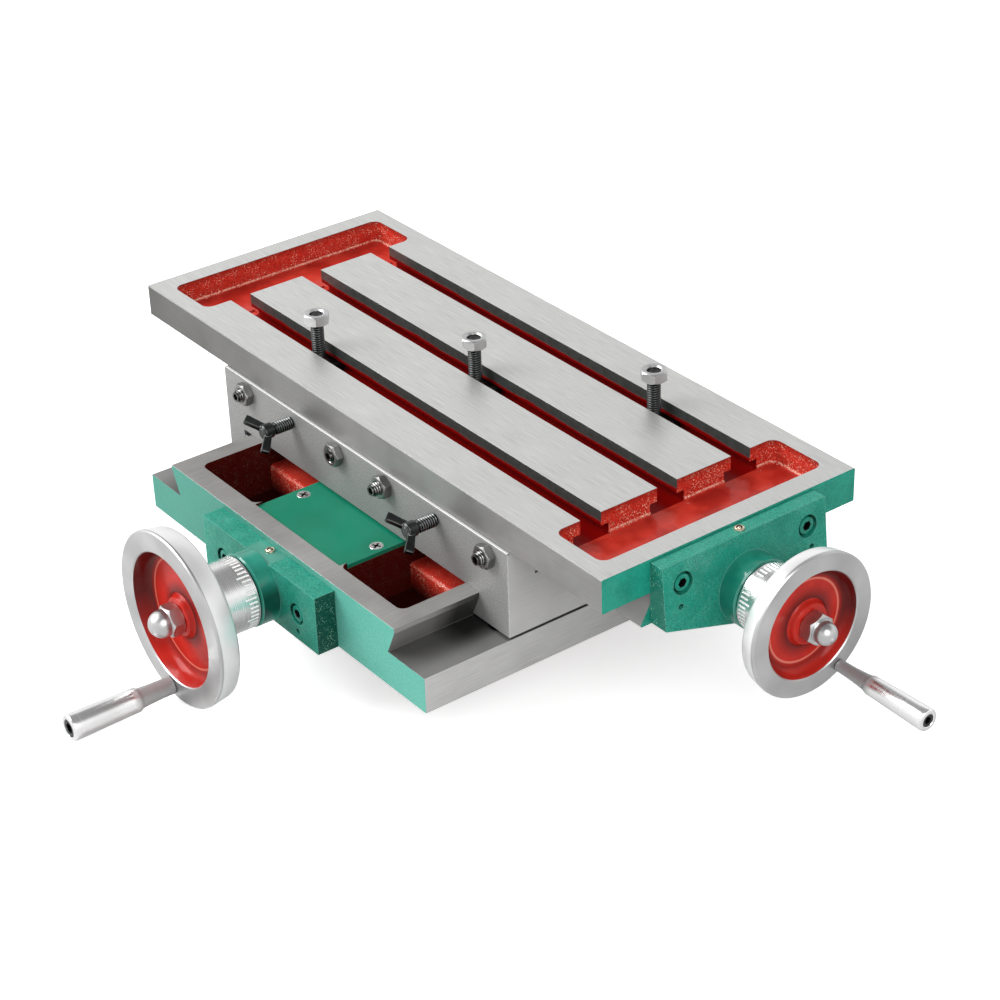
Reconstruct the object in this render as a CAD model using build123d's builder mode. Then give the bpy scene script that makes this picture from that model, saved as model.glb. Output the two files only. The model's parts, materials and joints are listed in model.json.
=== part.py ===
from build123d import *
from math import acos, atan2, cos, hypot, radians, sin, tan
import os

# Compound cross-slide milling table: a base, a saddle that slides along Y on it,
# and a T-slotted table that slides along X on the saddle, each driven by a lead
# screw with a dial and a handwheel. Millimetres, +Z up. The origin is the centre
# of the base's machined underside.

# Fits
slide_gap = 0.1       # between sliding faces
fit_gap = 0.05        # radial, between a pin, screw or shaft and its hole
seat_gap = 0.3        # between neighbours that turn or travel past each other

# Base casting
base_length = 282.0
base_depth = 250.0
flange_height = 22.2
way_rise = 18.3
way_land = 3.3
way_angle = 65.0
shelf_width = 26.6        # beside the widest part of the way
way_side_wall = 11.9
front_wall = 13.4
rear_wall = 12.0
pocket_corner = 5.0
platform_height = 23.5
base_floor = 6.0
well_length = 46.9
well_edge_radius = 3.0
gallery_half_width = 31.5
underside_rim = 34.0
underside_depth = 14.0
underside_corner = 8.0
bolt_hole_radius = 5.5
bolt_head_radius = 9.0
bolt_head_depth = 11.0
bolt_inset_x = 16.5
bolt_inset_y = 65.0

# Cover plate over the cross-feed screw
plate_half_width = 43.5
plate_length = 58.0
plate_thickness = 2.5
plate_drop = 1.6          # below the top of the way
plate_screw_spacing = 74.0
plate_screw_radius = 1.9
plate_screw_head_radius = 4.2
plate_screw_length = 12.0

# Saddle
saddle_depth = 180.4
saddle_lift = 1.2     # above the base's shelves
saddle_rest_y = 21.8
saddle_web = 17.3     # between the two dovetail grooves
edge_chamfer = 0.6

# Table
table_length = 450.0
table_depth = 176.4
slab_thickness = 20.5
table_rest_x = -6.5
tongue_height = 18.4
tongue_half_width = 62.5
tongue_land = 0.8
tongue_angle = 60.0
groove_floor_gap = 0.7
pocket_width = 39.4
pocket_end_wall = 13.6
pocket_side_wall = 10.9
pocket_sink = 14.5
pocket_radius = 6.0
pocket_floor_fillet = 2.5
slot_width = 14.2
slot_pitch = 52.7
slot_throat = 8.5
slot_tee_width = 24.0
slot_tee_height = 7.0
screw_channel_half = 15.0
screw_channel_height = 16.6

# Gibs, their set screws and the wing lock screws
gib_thickness = 8.0
gib_end_gap = 0.2
set_screw_radius = 3.0
set_screw_stick_out = 10.0
set_screw_point = 2.2
set_screw_end_chamfer = 0.5
socket_radius = 1.6
socket_depth = 3.0
jam_nut_across_flats = 10.0
jam_nut_thickness = 5.2
long_gib_first = 25.6     # from the saddle's left end
long_gib_last = 16.9      # from its right end
long_gib_count = 6
long_gib_drop = 7.9       # below the top of the saddle
cross_gib_pitch = 60.0
lock_hub_radius = 4.6
lock_hub_length = 7.0
lock_hub_reach = 20.3
lock_wing_reach = 13.0
lock_wing_lift = 6.5
lock_wing_thickness = 2.8
lock_wing_width = 6.5
lock_wing_angle = 145.0

# Lead screws, their bearings, and the feed nuts on the saddle
lead_screw_radius = 6.0
lead_screw_end_chamfer = 1.0
journal_radius = 5.0
bush_wall = 3.0
collar_radius = 11.0
collar_thickness = 4.0
washer_thickness = 1.5
cross_screw_height = 18.3
cross_screw_end_gap = 14.0    # short of the base's rear wall
long_screw_drop = 33.0        # below the table's top
long_screw_end_gap = 30.0     # short of the table's left end
feed_nut_length = 28.0
feed_nut_width = 24.0
cross_nut_wall = 4.0          # below the screw
long_nut_seat_depth = 7.0     # into the saddle's web
long_nut_wall = 2.9           # above the screw
long_nut_x = -45.0
nut_screw_spacing = 16.0
nut_screw_radius = 2.0
nut_screw_head_radius = 3.5
nut_screw_head_depth = 4.0
long_nut_screw_length = 12.0
cross_nut_screw_length = 20.0
key_size = 3.0
key_length = 12.0

# Brackets
bracket_width = 116.0
bracket_thickness = 13.5
bracket_height = 36.9
bracket_boss_reach = 25.0
front_boss_radius = 22.0
end_boss_radius = 20.3
cast_edge_round = 0.8
end_bracket_top_drop = 1.35
end_bracket_width = 113.5
end_bracket_side_height = 36.5
end_bracket_top_thickness = 9.2
end_bracket_draft = 5.7
end_bracket_boss_reach = 24.0
bracket_screw_radius = 3.0
bracket_screw_head_radius = 5.0
bracket_screw_head_depth = 6.0
bracket_screw_recess_radius = 6.6
bracket_screw_length = 18.0
bracket_screw_sink = 0.6
front_screw_spacing = 76.0
front_screw_height = 17.0
end_screw_spacing = 87.0
end_screw_drop = 14.3
dowel_radius = 1.7
dowel_length = 16.0
dowel_sink = 2.0
front_dowel_height = 5.6
end_dowel_spacing = 91.6
end_dowel_drop = 27.2
oiler_radius = 2.9
oiler_depth = 3.5
oiler_crown = 0.6
oiler_ball_radius = 1.2
oiler_inset = 4.5         # in front of the face that the bracket is bolted to
oil_way_radius = 1.2

# Dials, handwheels and cap nuts; lengths are along the screw
dial_chamfer = 0.8
hub_radius = 13.0
hub_lift = 4.0            # in front of the web
web_thickness = 3.5
web_dish = 1.5
rim_round = 2.2
rim_draft = 9.0           # degrees by which the rim narrows towards its back
ring_draft = 2.2          # by which the ring's inner wall narrows towards the web
front_dial_radius = 21.4
front_dial_length = 32.5
front_wheel_radius = 53.2
front_wheel_thickness = 14.5
front_ring_width = 13.1
front_nut_across_flats = 17.0
front_nut_height = 8.0
front_dome_radius = 8.0
front_dome_reach = 10.2   # from the hexagon's front to the dome's top
end_dial_radius = 19.8
end_dial_length = 26.4
end_wheel_radius = 41.8
end_wheel_thickness = 11.2
end_ring_width = 11.1
end_nut_across_flats = 16.0
end_nut_height = 8.0
end_dome_radius = 6.4
end_dome_reach = 9.0

# Grips and the spindle screws that they turn on
front_grip_place = (-6.0, -46.2)    # from the screw's axis, across and up
front_grip_length = 66.0
front_grip_root_radius = 5.3
front_grip_neck_radius = 6.0
front_grip_neck_length = 20.5
front_grip_shoulder_radius = 7.2
front_grip_end_radius = 8.0
front_spindle_radius = 3.0
end_grip_place = (19.4, -32.4)
end_grip_length = 64.5
end_grip_root_radius = 3.4
end_grip_neck_radius = 4.5
end_grip_neck_length = 21.0
end_grip_shoulder_radius = 5.4
end_grip_end_radius = 6.4
end_spindle_radius = 2.0
grip_flare_length = 3.0
grip_edge_round = 1.5
spindle_thread_length = 7.0
spindle_head_depth = 4.0
spindle_head_sink = 0.4

# T-bolts
bolt_radius = 4.0
bolt_head_width = 21.0
bolt_head_height = 6.0
bolt_nut_across_flats = 13.0
bolt_nut_thickness = 6.5
bolt_nut_top = 22.0
bolt_end_recess = 1.2
bolt_rest_x = (-85.0, 0.4, 99.0)

# Levels and faces worked out from the sizes above
way_top = flange_height + way_rise
way_half_width = base_length / 2 - shelf_width
pocket_half_width = way_half_width - way_side_wall
saddle_bottom = flange_height + saddle_lift
groove_ceiling = way_top + slide_gap
groove_floor = groove_ceiling + saddle_web
tongue_bottom = groove_floor + groove_floor_gap
table_bottom = tongue_bottom + tongue_height
saddle_top = table_bottom - slide_gap
table_top = table_bottom + slab_thickness
base_front_y = -base_depth / 2
saddle_front_y = saddle_rest_y - saddle_depth / 2
saddle_left_x = -base_length / 2
table_end_x = table_rest_x + table_length / 2
well_back_y = base_front_y + front_wall + well_length
plate_front_y = base_front_y + front_wall + seat_gap
plate_back_y = plate_front_y + plate_length
plate_seat = way_top - plate_drop - plate_thickness
cross_screw_length = base_depth - rear_wall - cross_screw_end_gap
pocket_outer_x = table_length / 2 - pocket_end_wall
pocket_inner_x = pocket_outer_x - pocket_width
pocket_depth_y = table_depth - 2 * pocket_side_wall
long_screw_length = table_length - long_screw_end_gap
long_screw_height = table_top - long_screw_drop
long_gib_height = saddle_top - long_gib_drop
cross_gib_height = (saddle_bottom + way_top - way_land) / 2
slot_bottom = table_top - slot_throat - slot_tee_height
recess_depth = collar_thickness + washer_thickness + 3 * slide_gap
bush_radius = journal_radius + bush_wall

CENTRE_LOW = (Align.CENTER, Align.CENTER, Align.MIN)


def dovetail(half_width, land, wide_z, narrow_z, angle):
    """Corners of a symmetrical dovetail section, wide at wide_z and narrow at narrow_z."""
    side = 1 if wide_z > narrow_z else -1
    land_z = wide_z - side * land
    narrow_half = half_width - abs(land_z - narrow_z) / tan(radians(angle))
    return [
        (-half_width, wide_z),
        (half_width, wide_z),
        (half_width, land_z),
        (narrow_half, narrow_z),
        (-narrow_half, narrow_z),
        (-half_width, land_z),
    ]


def slope_offset(thickness, angle):
    """Sideways room that a strip of this thickness takes on a slope."""
    return thickness / sin(radians(angle))


def slope_half_width(z, half_width, land_z, angle):
    """Half the width of a dovetail at height z on its slope."""
    return half_width - abs(z - land_z) / tan(radians(angle))


def groove(half_width, land_z, wide_z, mouth_z, angle):
    """Section of a saddle groove: running clearance on one side, a gib's room on the other."""
    gap = slope_offset(slide_gap, angle)
    room = slope_offset(gib_thickness, angle)
    mouth = slope_half_width(mouth_z, half_width, land_z, angle)
    return [
        (half_width + gap, wide_z),
        (half_width + gap, land_z),
        (mouth + gap, mouth_z),
        (-mouth - room, mouth_z),
        (-half_width - room, land_z),
        (-half_width - room, wide_z),
    ]


def gib_section(half_width, land_z, low, high, angle):
    """A gib's four-sided section, between the slopes at heights low and high."""
    gap = slope_offset(slide_gap, angle)
    room = slope_offset(gib_thickness, angle)
    lower = slope_half_width(low, half_width, land_z, angle)
    upper = slope_half_width(high, half_width, land_z, angle)
    return [
        (-lower - gap, low),
        (-upper - gap, high),
        (-upper - room + gap, high),
        (-lower - room + gap, low),
    ]


def gib_point_depth(face_distance, height, half_width, land_z, angle):
    """Depth under a face at which a set screw's blunt point meets the gib's slope."""
    gib_face = slope_half_width(height, half_width, land_z, angle)
    gib_face += slope_offset(gib_thickness - slide_gap, angle)
    blunt = (set_screw_radius - set_screw_point) / tan(radians(angle))
    return face_distance - gib_face - blunt - fit_gap


def side_plane(origin, outward):
    """A plane whose local x runs outward along a shaft and whose local y is up."""
    out = Vector(*outward)
    return Plane(origin=origin, x_dir=out, z_dir=out.cross(Vector(0, 0, 1)))


def face_plane(origin, outward):
    """A plane on an upright face, looking outward, with its local y up."""
    out = Vector(*outward)
    return Plane(origin=origin, x_dir=Vector(0, 0, 1).cross(out), z_dir=out)


def turned(plane, outline):
    """A solid turned about the plane's local x axis from a closed outline."""
    with BuildPart() as turned_piece:
        with BuildSketch(plane):
            with BuildLine():
                Polyline(*outline, close=True)
            make_face()
        revolve(axis=Axis(plane.origin, plane.x_dir))
    return turned_piece.part


def hex_nuts(plane, places, across_flats, thickness, bore_radius):
    """Chamfered hexagon nuts that stand on a plane at the given places."""
    corner_radius = across_flats / 2 / cos(radians(30))
    corner_cut = corner_radius - across_flats / 2
    with BuildPart() as nuts:
        with BuildSketch(plane):
            with Locations(*places):
                Circle(corner_radius)
        extrude(amount=thickness)
        rims = nuts.edges().filter_by(GeomType.CIRCLE)
        chamfer(rims, length=corner_cut * 0.6, length2=corner_cut)
        with BuildSketch(plane):
            with Locations(*places):
                RegularPolygon(corner_radius, 6)
                Circle(bore_radius, mode=Mode.SUBTRACT)
        extrude(amount=thickness, mode=Mode.INTERSECT)
    return nuts.part


def socket_screws(plane, places, radius, length, head_radius, head_depth):
    """Socket head screws with the tops of their heads on the plane, shanks inward."""
    with BuildPart() as screws:
        with BuildSketch(plane):
            with Locations(*places):
                Circle(head_radius)
        extrude(amount=-head_depth)
        with BuildSketch(plane.offset(-head_depth)):
            with Locations(*places):
                Circle(radius)
        extrude(amount=-length)
        with BuildSketch(plane):
            with Locations(*places):
                RegularPolygon(head_radius * 0.58, 6)
        extrude(amount=-head_depth * 0.6, mode=Mode.SUBTRACT)
    return screws.part


def pointed_screws(plane, places, point_depth, stick_out):
    """Set screws through a face: cone points inward, sockets in their outer ends."""
    with BuildPart() as screws:
        with BuildSketch(plane.offset(-point_depth)):
            with Locations(*places):
                Circle(set_screw_radius)
        extrude(amount=point_depth + stick_out)
        rims = screws.edges().filter_by(GeomType.CIRCLE).group_by(Axis(plane.origin, plane.z_dir))
        chamfer(rims[0], set_screw_point)
        chamfer(rims[-1], set_screw_end_chamfer)
        with BuildSketch(plane.offset(stick_out)):
            with Locations(*places):
                RegularPolygon(socket_radius, 6)
        extrude(amount=-socket_depth, mode=Mode.SUBTRACT)
    return screws.part


# Places of the brackets' screws and dowels, across and up each mounting face
front_screw_places = [(side * front_screw_spacing / 2, front_screw_height) for side in (-1, 1)]
front_dowel_places = [(side * front_screw_spacing / 2, front_dowel_height) for side in (-1, 1)]
end_screw_places = [
    (side * end_screw_spacing / 2, table_top - end_screw_drop) for side in (-1, 1)
]
end_dowel_places = [(side * end_dowel_spacing / 2, table_top - end_dowel_drop) for side in (-1, 1)]

# Base casting: flange with two shelves, hollow dovetail way along Y, deep front
# wells each side of the ribs that carry the cover plate
front_face = face_plane((0, base_front_y, 0), (0, -1, 0))
way_section = dovetail(way_half_width, way_land, way_top, flange_height, way_angle)

with BuildPart() as base_casting:
    Box(base_length, base_depth, flange_height, align=CENTRE_LOW)
    with BuildSketch(front_face):
        with BuildLine():
            Polyline(*way_section, close=True)
        make_face()
    extrude(amount=-base_depth)
    # Rear bay, from the end of the cover plate to the rear wall
    rear_bay_length = base_depth / 2 - rear_wall - plate_back_y
    with BuildSketch(Plane.XY.offset(way_top)):
        with Locations((0, plate_back_y + rear_bay_length / 2)):
            RectangleRounded(2 * pocket_half_width, rear_bay_length, pocket_corner)
    extrude(amount=-(way_top - platform_height), mode=Mode.SUBTRACT)
    # Side bays beside the cover plate, and the deep wells in front of their ledges
    side_bay_width = pocket_half_width - plate_half_width
    side_bay_length = plate_back_y - base_front_y - front_wall + 2 * pocket_corner
    bay_x = plate_half_width + side_bay_width / 2
    with BuildSketch(Plane.XY.offset(way_top)):
        with Locations(
            (-bay_x, base_front_y + front_wall + side_bay_length / 2),
            (bay_x, base_front_y + front_wall + side_bay_length / 2),
        ):
            RectangleRounded(side_bay_width, side_bay_length, pocket_corner)
    extrude(amount=-(way_top - platform_height), mode=Mode.SUBTRACT)
    with BuildSketch(Plane.XY.offset(platform_height)):
        with Locations(
            (-bay_x, base_front_y + front_wall + side_bay_length / 2),
            (bay_x, base_front_y + front_wall + side_bay_length / 2),
        ):
            RectangleRounded(side_bay_width, side_bay_length, pocket_corner)
        with Locations((0, well_back_y + side_bay_length / 2)):
            Rectangle(base_length, side_bay_length, mode=Mode.SUBTRACT)
    extrude(amount=-(platform_height - base_floor), mode=Mode.SUBTRACT)
    # Gallery that the cross-feed screw and its nut run in
    gallery_length = base_depth - front_wall - rear_wall
    with BuildSketch(Plane.XY.offset(way_top)):
        with Locations((0, (front_wall - rear_wall) / 2)):
            RectangleRounded(2 * gallery_half_width, gallery_length, pocket_corner)
    extrude(amount=-(way_top - base_floor), mode=Mode.SUBTRACT)
    # Seat of the cover plate on the two ribs
    with BuildSketch(Plane.XY.offset(way_top)):
        with Locations((0, base_front_y + front_wall + (plate_length + seat_gap) / 2)):
            Rectangle(2 * plate_half_width, plate_length + seat_gap)
    extrude(amount=-(way_top - plate_seat), mode=Mode.SUBTRACT)
    with Locations(
        (-plate_screw_spacing / 2, (plate_front_y + plate_back_y) / 2, plate_seat),
        (plate_screw_spacing / 2, (plate_front_y + plate_back_y) / 2, plate_seat),
    ):
        Hole(plate_screw_radius + fit_gap, depth=plate_screw_length)
    # Ledges' rounded front edges
    ledge_edges = (
        base_casting.edges()
        .filter_by(Axis.X)
        .filter_by_position(Axis.Z, platform_height - slide_gap, platform_height + slide_gap)
        .filter_by_position(Axis.Y, well_back_y - slide_gap, well_back_y + slide_gap)
    )
    fillet(ledge_edges, well_edge_radius)
    # Cored hollows in the underside, each side of the gallery
    hollow_width = pocket_half_width - underside_rim
    hollow_length = base_depth / 2 - underside_rim - well_back_y
    hollow_x = underside_rim + hollow_width / 2
    with BuildSketch(Plane.XY):
        with Locations(
            (-hollow_x, well_back_y + underside_corner + hollow_length / 2),
            (hollow_x, well_back_y + underside_corner + hollow_length / 2),
        ):
            RectangleRounded(hollow_width, hollow_length, underside_corner)
    extrude(amount=underside_depth, mode=Mode.SUBTRACT)
    # Bolt holes in the shelves
    with Locations((0, 0, flange_height)):
        with GridLocations(
            base_length - 2 * bolt_inset_x, base_depth - 2 * bolt_inset_y, 2, 2
        ):
            CounterBoreHole(bolt_hole_radius, bolt_head_radius, bolt_head_depth)
    # Way for the cross-feed screw through the front wall
    with Locations(face_plane((0, base_front_y, cross_screw_height), (0, -1, 0))):
        Hole(lead_screw_radius + seat_gap, depth=front_wall)
    # Screw and dowel holes of the front bracket
    with BuildSketch(front_face):
        with Locations(*front_screw_places):
            Circle(bracket_screw_radius + fit_gap)
        with Locations(*front_dowel_places):
            Circle(dowel_radius + fit_gap)
    extrude(amount=-(bracket_screw_length - bracket_thickness), mode=Mode.SUBTRACT)
base_casting.part.label = "base_casting"

# Cover plate and its countersunk screws
plate_top_plane = Plane.XY.offset(plate_seat + plate_thickness)
plate_middle_y = (plate_front_y + plate_back_y) / 2

with BuildPart() as cover_plate:
    with BuildSketch(Plane.XY.offset(plate_seat)):
        with Locations((0, plate_middle_y)):
            Rectangle(2 * (plate_half_width - fit_gap), plate_length - seat_gap)
    extrude(amount=plate_thickness)
    with Locations((0, plate_middle_y, plate_seat + plate_thickness)):
        with GridLocations(plate_screw_spacing, 1, 2, 1):
            CounterSinkHole(plate_screw_radius + fit_gap, plate_screw_head_radius + fit_gap)
cover_plate.part.label = "cover_plate"

head_cone_depth = plate_screw_head_radius - plate_screw_radius
with BuildPart() as cover_plate_screws:
    with BuildSketch(plate_top_plane):
        with Locations((0, plate_middle_y)):
            with GridLocations(plate_screw_spacing, 1, 2, 1):
                Circle(plate_screw_head_radius)
    extrude(amount=-head_cone_depth, taper=45)
    with BuildSketch(plate_top_plane.offset(-head_cone_depth)):
        with Locations((0, plate_middle_y)):
            with GridLocations(plate_screw_spacing, 1, 2, 1):
                Circle(plate_screw_radius)
    extrude(amount=-(plate_screw_length - head_cone_depth - seat_gap))
cover_plate_screws.part.label = "cover_plate_screws"


# Saddle, grooved along Y beneath for the base's way and along X on top for the table
saddle_front = face_plane((0, saddle_front_y, 0), (0, -1, 0))
saddle_left = face_plane((saddle_left_x, saddle_rest_y, 0), (-1, 0, 0))
saddle_end = face_plane((saddle_left_x, saddle_rest_y, 0), (1, 0, 0))
way_land_z = way_top - way_land
tongue_land_z = tongue_bottom + tongue_land
long_gib_pitch = (base_length - long_gib_first - long_gib_last) / (long_gib_count - 1)
long_gib_x = [
    saddle_left_x + long_gib_first + i * long_gib_pitch for i in range(long_gib_count)
]
long_lock_places = [(long_gib_x[i], long_gib_height) for i in (1, 4)]
long_screw_places = [(long_gib_x[i], long_gib_height) for i in (0, 2, 3, 5)]
cross_lock_places = [(0, cross_gib_height)]
cross_screw_places = [(side * cross_gib_pitch, cross_gib_height) for side in (-1, 1)]
long_point_depth = gib_point_depth(
    saddle_depth / 2, long_gib_height, tongue_half_width, tongue_land_z, tongue_angle
)
cross_point_depth = gib_point_depth(
    base_length / 2, cross_gib_height, way_half_width, way_land_z, way_angle
)

long_nut_screw_plane = Plane(
    origin=(long_nut_x, saddle_rest_y, groove_ceiling), x_dir=(1, 0, 0), z_dir=(0, 0, -1)
)
cross_nut_screw_plane = Plane(origin=(0, saddle_rest_y, groove_floor), x_dir=(1, 0, 0))

with BuildPart() as saddle:
    with Locations((0, saddle_rest_y, saddle_bottom)):
        Box(base_length, saddle_depth, saddle_top - saddle_bottom, align=CENTRE_LOW)
    chamfer(saddle.edges(), edge_chamfer)
    with BuildSketch(saddle_front):
        with BuildLine():
            Polyline(
                *groove(way_half_width, way_land_z, groove_ceiling, saddle_bottom, way_angle),
                close=True,
            )
        make_face()
    extrude(amount=-saddle_depth, mode=Mode.SUBTRACT)
    with BuildSketch(saddle_end):
        with BuildLine():
            Polyline(
                *groove(tongue_half_width, tongue_land_z, groove_floor, saddle_top, tongue_angle),
                close=True,
            )
        make_face()
    extrude(amount=base_length, mode=Mode.SUBTRACT)
    # Threaded holes of the set screws and lock screws
    with BuildSketch(saddle_front):
        with Locations(*long_screw_places, *long_lock_places):
            Circle(set_screw_radius + fit_gap)
    extrude(amount=-long_point_depth, mode=Mode.SUBTRACT)
    with BuildSketch(saddle_left):
        with Locations(*cross_screw_places, *cross_lock_places):
            Circle(set_screw_radius + fit_gap)
    extrude(amount=-cross_point_depth, mode=Mode.SUBTRACT)
    # Seat of the long feed nut, and the holes of the screws that hold both feed nuts
    with BuildSketch(Plane.XY.offset(groove_floor)):
        with Locations((long_nut_x, saddle_rest_y)):
            Rectangle(feed_nut_length + 2 * fit_gap, feed_nut_width + 2 * fit_gap)
    extrude(amount=-long_nut_seat_depth, mode=Mode.SUBTRACT)
    with Locations(long_nut_screw_plane):
        with GridLocations(nut_screw_spacing, 1, 2, 1):
            CounterBoreHole(
                nut_screw_radius + fit_gap,
                nut_screw_head_radius + fit_gap,
                nut_screw_head_depth,
                depth=saddle_web,
            )
    with Locations(cross_nut_screw_plane):
        with GridLocations(nut_screw_spacing, 1, 2, 1):
            CounterBoreHole(
                nut_screw_radius + fit_gap,
                nut_screw_head_radius + fit_gap,
                nut_screw_head_depth,
                depth=saddle_web,
            )
saddle.part.label = "saddle"

# Gibs
with BuildPart() as long_gib:
    with BuildSketch(saddle_end.offset(gib_end_gap)):
        with BuildLine():
            Polyline(
                *gib_section(
                    tongue_half_width,
                    tongue_land_z,
                    tongue_land_z,
                    saddle_top - gib_end_gap,
                    tongue_angle,
                ),
                close=True,
            )
        make_face()
    extrude(amount=base_length - 2 * gib_end_gap)
long_gib.part.label = "long_gib"

with BuildPart() as cross_gib:
    with BuildSketch(saddle_front.offset(-gib_end_gap)):
        with BuildLine():
            Polyline(
                *gib_section(
                    way_half_width,
                    way_land_z,
                    saddle_bottom + gib_end_gap,
                    way_land_z,
                    way_angle,
                ),
                close=True,
            )
        make_face()
    extrude(amount=-(saddle_depth - 2 * gib_end_gap))
cross_gib.part.label = "cross_gib"


def lock_screw(face, place, point_depth):
    """A wing screw: pointed shank, round hub and two ears that splay outward."""
    across = radians(lock_wing_angle)
    centre = face.from_local_coords(Vector(place[0], place[1], 0))
    ear_dir = face.x_dir * cos(across) + face.y_dir * sin(across)
    ear_plane = Plane(origin=centre, x_dir=ear_dir, z_dir=ear_dir.cross(face.z_dir))
    hub_back = lock_hub_reach - lock_hub_length
    with BuildPart() as screw:
        with BuildSketch(face.offset(-point_depth)):
            with Locations(place):
                Circle(set_screw_radius)
        extrude(amount=point_depth + lock_hub_reach - lock_hub_length / 2)
        tip = screw.edges().filter_by(GeomType.CIRCLE).group_by(Axis(face.origin, face.z_dir))[0]
        chamfer(tip, set_screw_point)
        with BuildSketch(face.offset(hub_back)):
            with Locations(place):
                Circle(lock_hub_radius)
        extrude(amount=lock_hub_length)
        hub_rims = screw.edges().filter_by(GeomType.CIRCLE).group_by(SortBy.RADIUS)[-1]
        chamfer(hub_rims, edge_chamfer)
        # Each ear is a bar that leans outward from the hub and ends in a round lobe
        with BuildSketch(ear_plane):
            for side in (-1, 1):
                root_x = side * set_screw_radius / 2
                tip_x = side * (lock_wing_reach - lock_wing_width / 2)
                root_z = hub_back + lock_hub_length / 2
                tip_z = lock_hub_reach + lock_wing_lift - lock_wing_width / 2
                with BuildLine():
                    Line((root_x, root_z), (tip_x, tip_z))
                    offset(amount=lock_wing_width / 2)
                make_face()
        extrude(amount=lock_wing_thickness / 2, both=True)
    return screw.part


# Set screws, jam nuts and wing lock screws of both gibs
with BuildPart() as long_gib_screws:
    add(pointed_screws(saddle_front, long_screw_places, long_point_depth, set_screw_stick_out))
long_gib_screws.part.label = "long_gib_screws"

with BuildPart() as long_gib_nuts:
    add(
        hex_nuts(
            saddle_front,
            long_screw_places,
            jam_nut_across_flats,
            jam_nut_thickness,
            set_screw_radius + fit_gap,
        )
    )
long_gib_nuts.part.label = "long_gib_nuts"

with BuildPart() as cross_gib_screws:
    add(pointed_screws(saddle_left, cross_screw_places, cross_point_depth, set_screw_stick_out))
cross_gib_screws.part.label = "cross_gib_screws"

with BuildPart() as cross_gib_nuts:
    add(
        hex_nuts(
            saddle_left,
            cross_screw_places,
            jam_nut_across_flats,
            jam_nut_thickness,
            set_screw_radius + fit_gap,
        )
    )
cross_gib_nuts.part.label = "cross_gib_nuts"

with BuildPart() as long_lock_left:
    add(lock_screw(saddle_front, long_lock_places[0], long_point_depth))
long_lock_left.part.label = "long_lock_left"

with BuildPart() as long_lock_right:
    add(lock_screw(saddle_front, long_lock_places[1], long_point_depth))
long_lock_right.part.label = "long_lock_right"

with BuildPart() as cross_lock:
    add(lock_screw(saddle_left, cross_lock_places[0], cross_point_depth))
cross_lock.part.label = "cross_lock"

# Feed nuts: one seated in the saddle's web, one hung beneath it, each with two screws
long_nut_bottom = groove_floor - long_nut_seat_depth
long_nut_top = long_screw_height + lead_screw_radius + long_nut_wall

with BuildPart() as long_feed_nut:
    with Locations((long_nut_x, saddle_rest_y, long_nut_bottom)):
        Box(feed_nut_length, feed_nut_width, long_nut_top - long_nut_bottom, align=CENTRE_LOW)
    chamfer(long_feed_nut.edges().group_by(Axis.Z)[-1], edge_chamfer)
    with BuildSketch(Plane.YZ.offset(long_nut_x - feed_nut_length / 2)):
        with Locations((saddle_rest_y, long_screw_height)):
            Circle(lead_screw_radius + fit_gap)
    extrude(amount=feed_nut_length, mode=Mode.SUBTRACT)
    with BuildSketch(long_nut_screw_plane):
        with GridLocations(nut_screw_spacing, 1, 2, 1):
            Circle(nut_screw_radius + fit_gap)
    extrude(amount=-(long_nut_screw_length + nut_screw_head_depth), mode=Mode.SUBTRACT)
long_feed_nut.part.label = "long_feed_nut"

cross_nut_bottom = cross_screw_height - lead_screw_radius - cross_nut_wall

with BuildPart() as cross_feed_nut:
    with Locations((0, saddle_rest_y, cross_nut_bottom)):
        Box(feed_nut_width, feed_nut_length, groove_ceiling - cross_nut_bottom, align=CENTRE_LOW)
    chamfer(cross_feed_nut.edges().group_by(Axis.Z)[0], edge_chamfer)
    with BuildSketch(face_plane((0, saddle_rest_y, 0), (0, -1, 0))):
        with Locations((0, cross_screw_height)):
            Circle(lead_screw_radius + fit_gap)
    extrude(amount=feed_nut_length, both=True, mode=Mode.SUBTRACT)
    with BuildSketch(cross_nut_screw_plane):
        with GridLocations(nut_screw_spacing, 1, 2, 1):
            Circle(nut_screw_radius + fit_gap)
    extrude(amount=-(cross_nut_screw_length + nut_screw_head_depth), mode=Mode.SUBTRACT)
cross_feed_nut.part.label = "cross_feed_nut"

nut_screw_places = [(side * nut_screw_spacing / 2, 0) for side in (-1, 1)]

with BuildPart() as feed_nut_screws:
    for head_plane, length in (
        (long_nut_screw_plane, long_nut_screw_length),
        (cross_nut_screw_plane, cross_nut_screw_length),
    ):
        add(
            socket_screws(
                head_plane.offset(-slide_gap),
                nut_screw_places,
                nut_screw_radius,
                length - slide_gap,
                nut_screw_head_radius,
                nut_screw_head_depth - slide_gap,
            )
        )
feed_nut_screws.part.label = "feed_nut_screws"

# Table: slab with T-slots between two end pockets, dovetail tongue beneath
table_left = face_plane((table_rest_x - table_length / 2, saddle_rest_y, 0), (1, 0, 0))
table_end = face_plane((table_end_x, saddle_rest_y, 0), (1, 0, 0))
slot_run = pocket_corner

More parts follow.
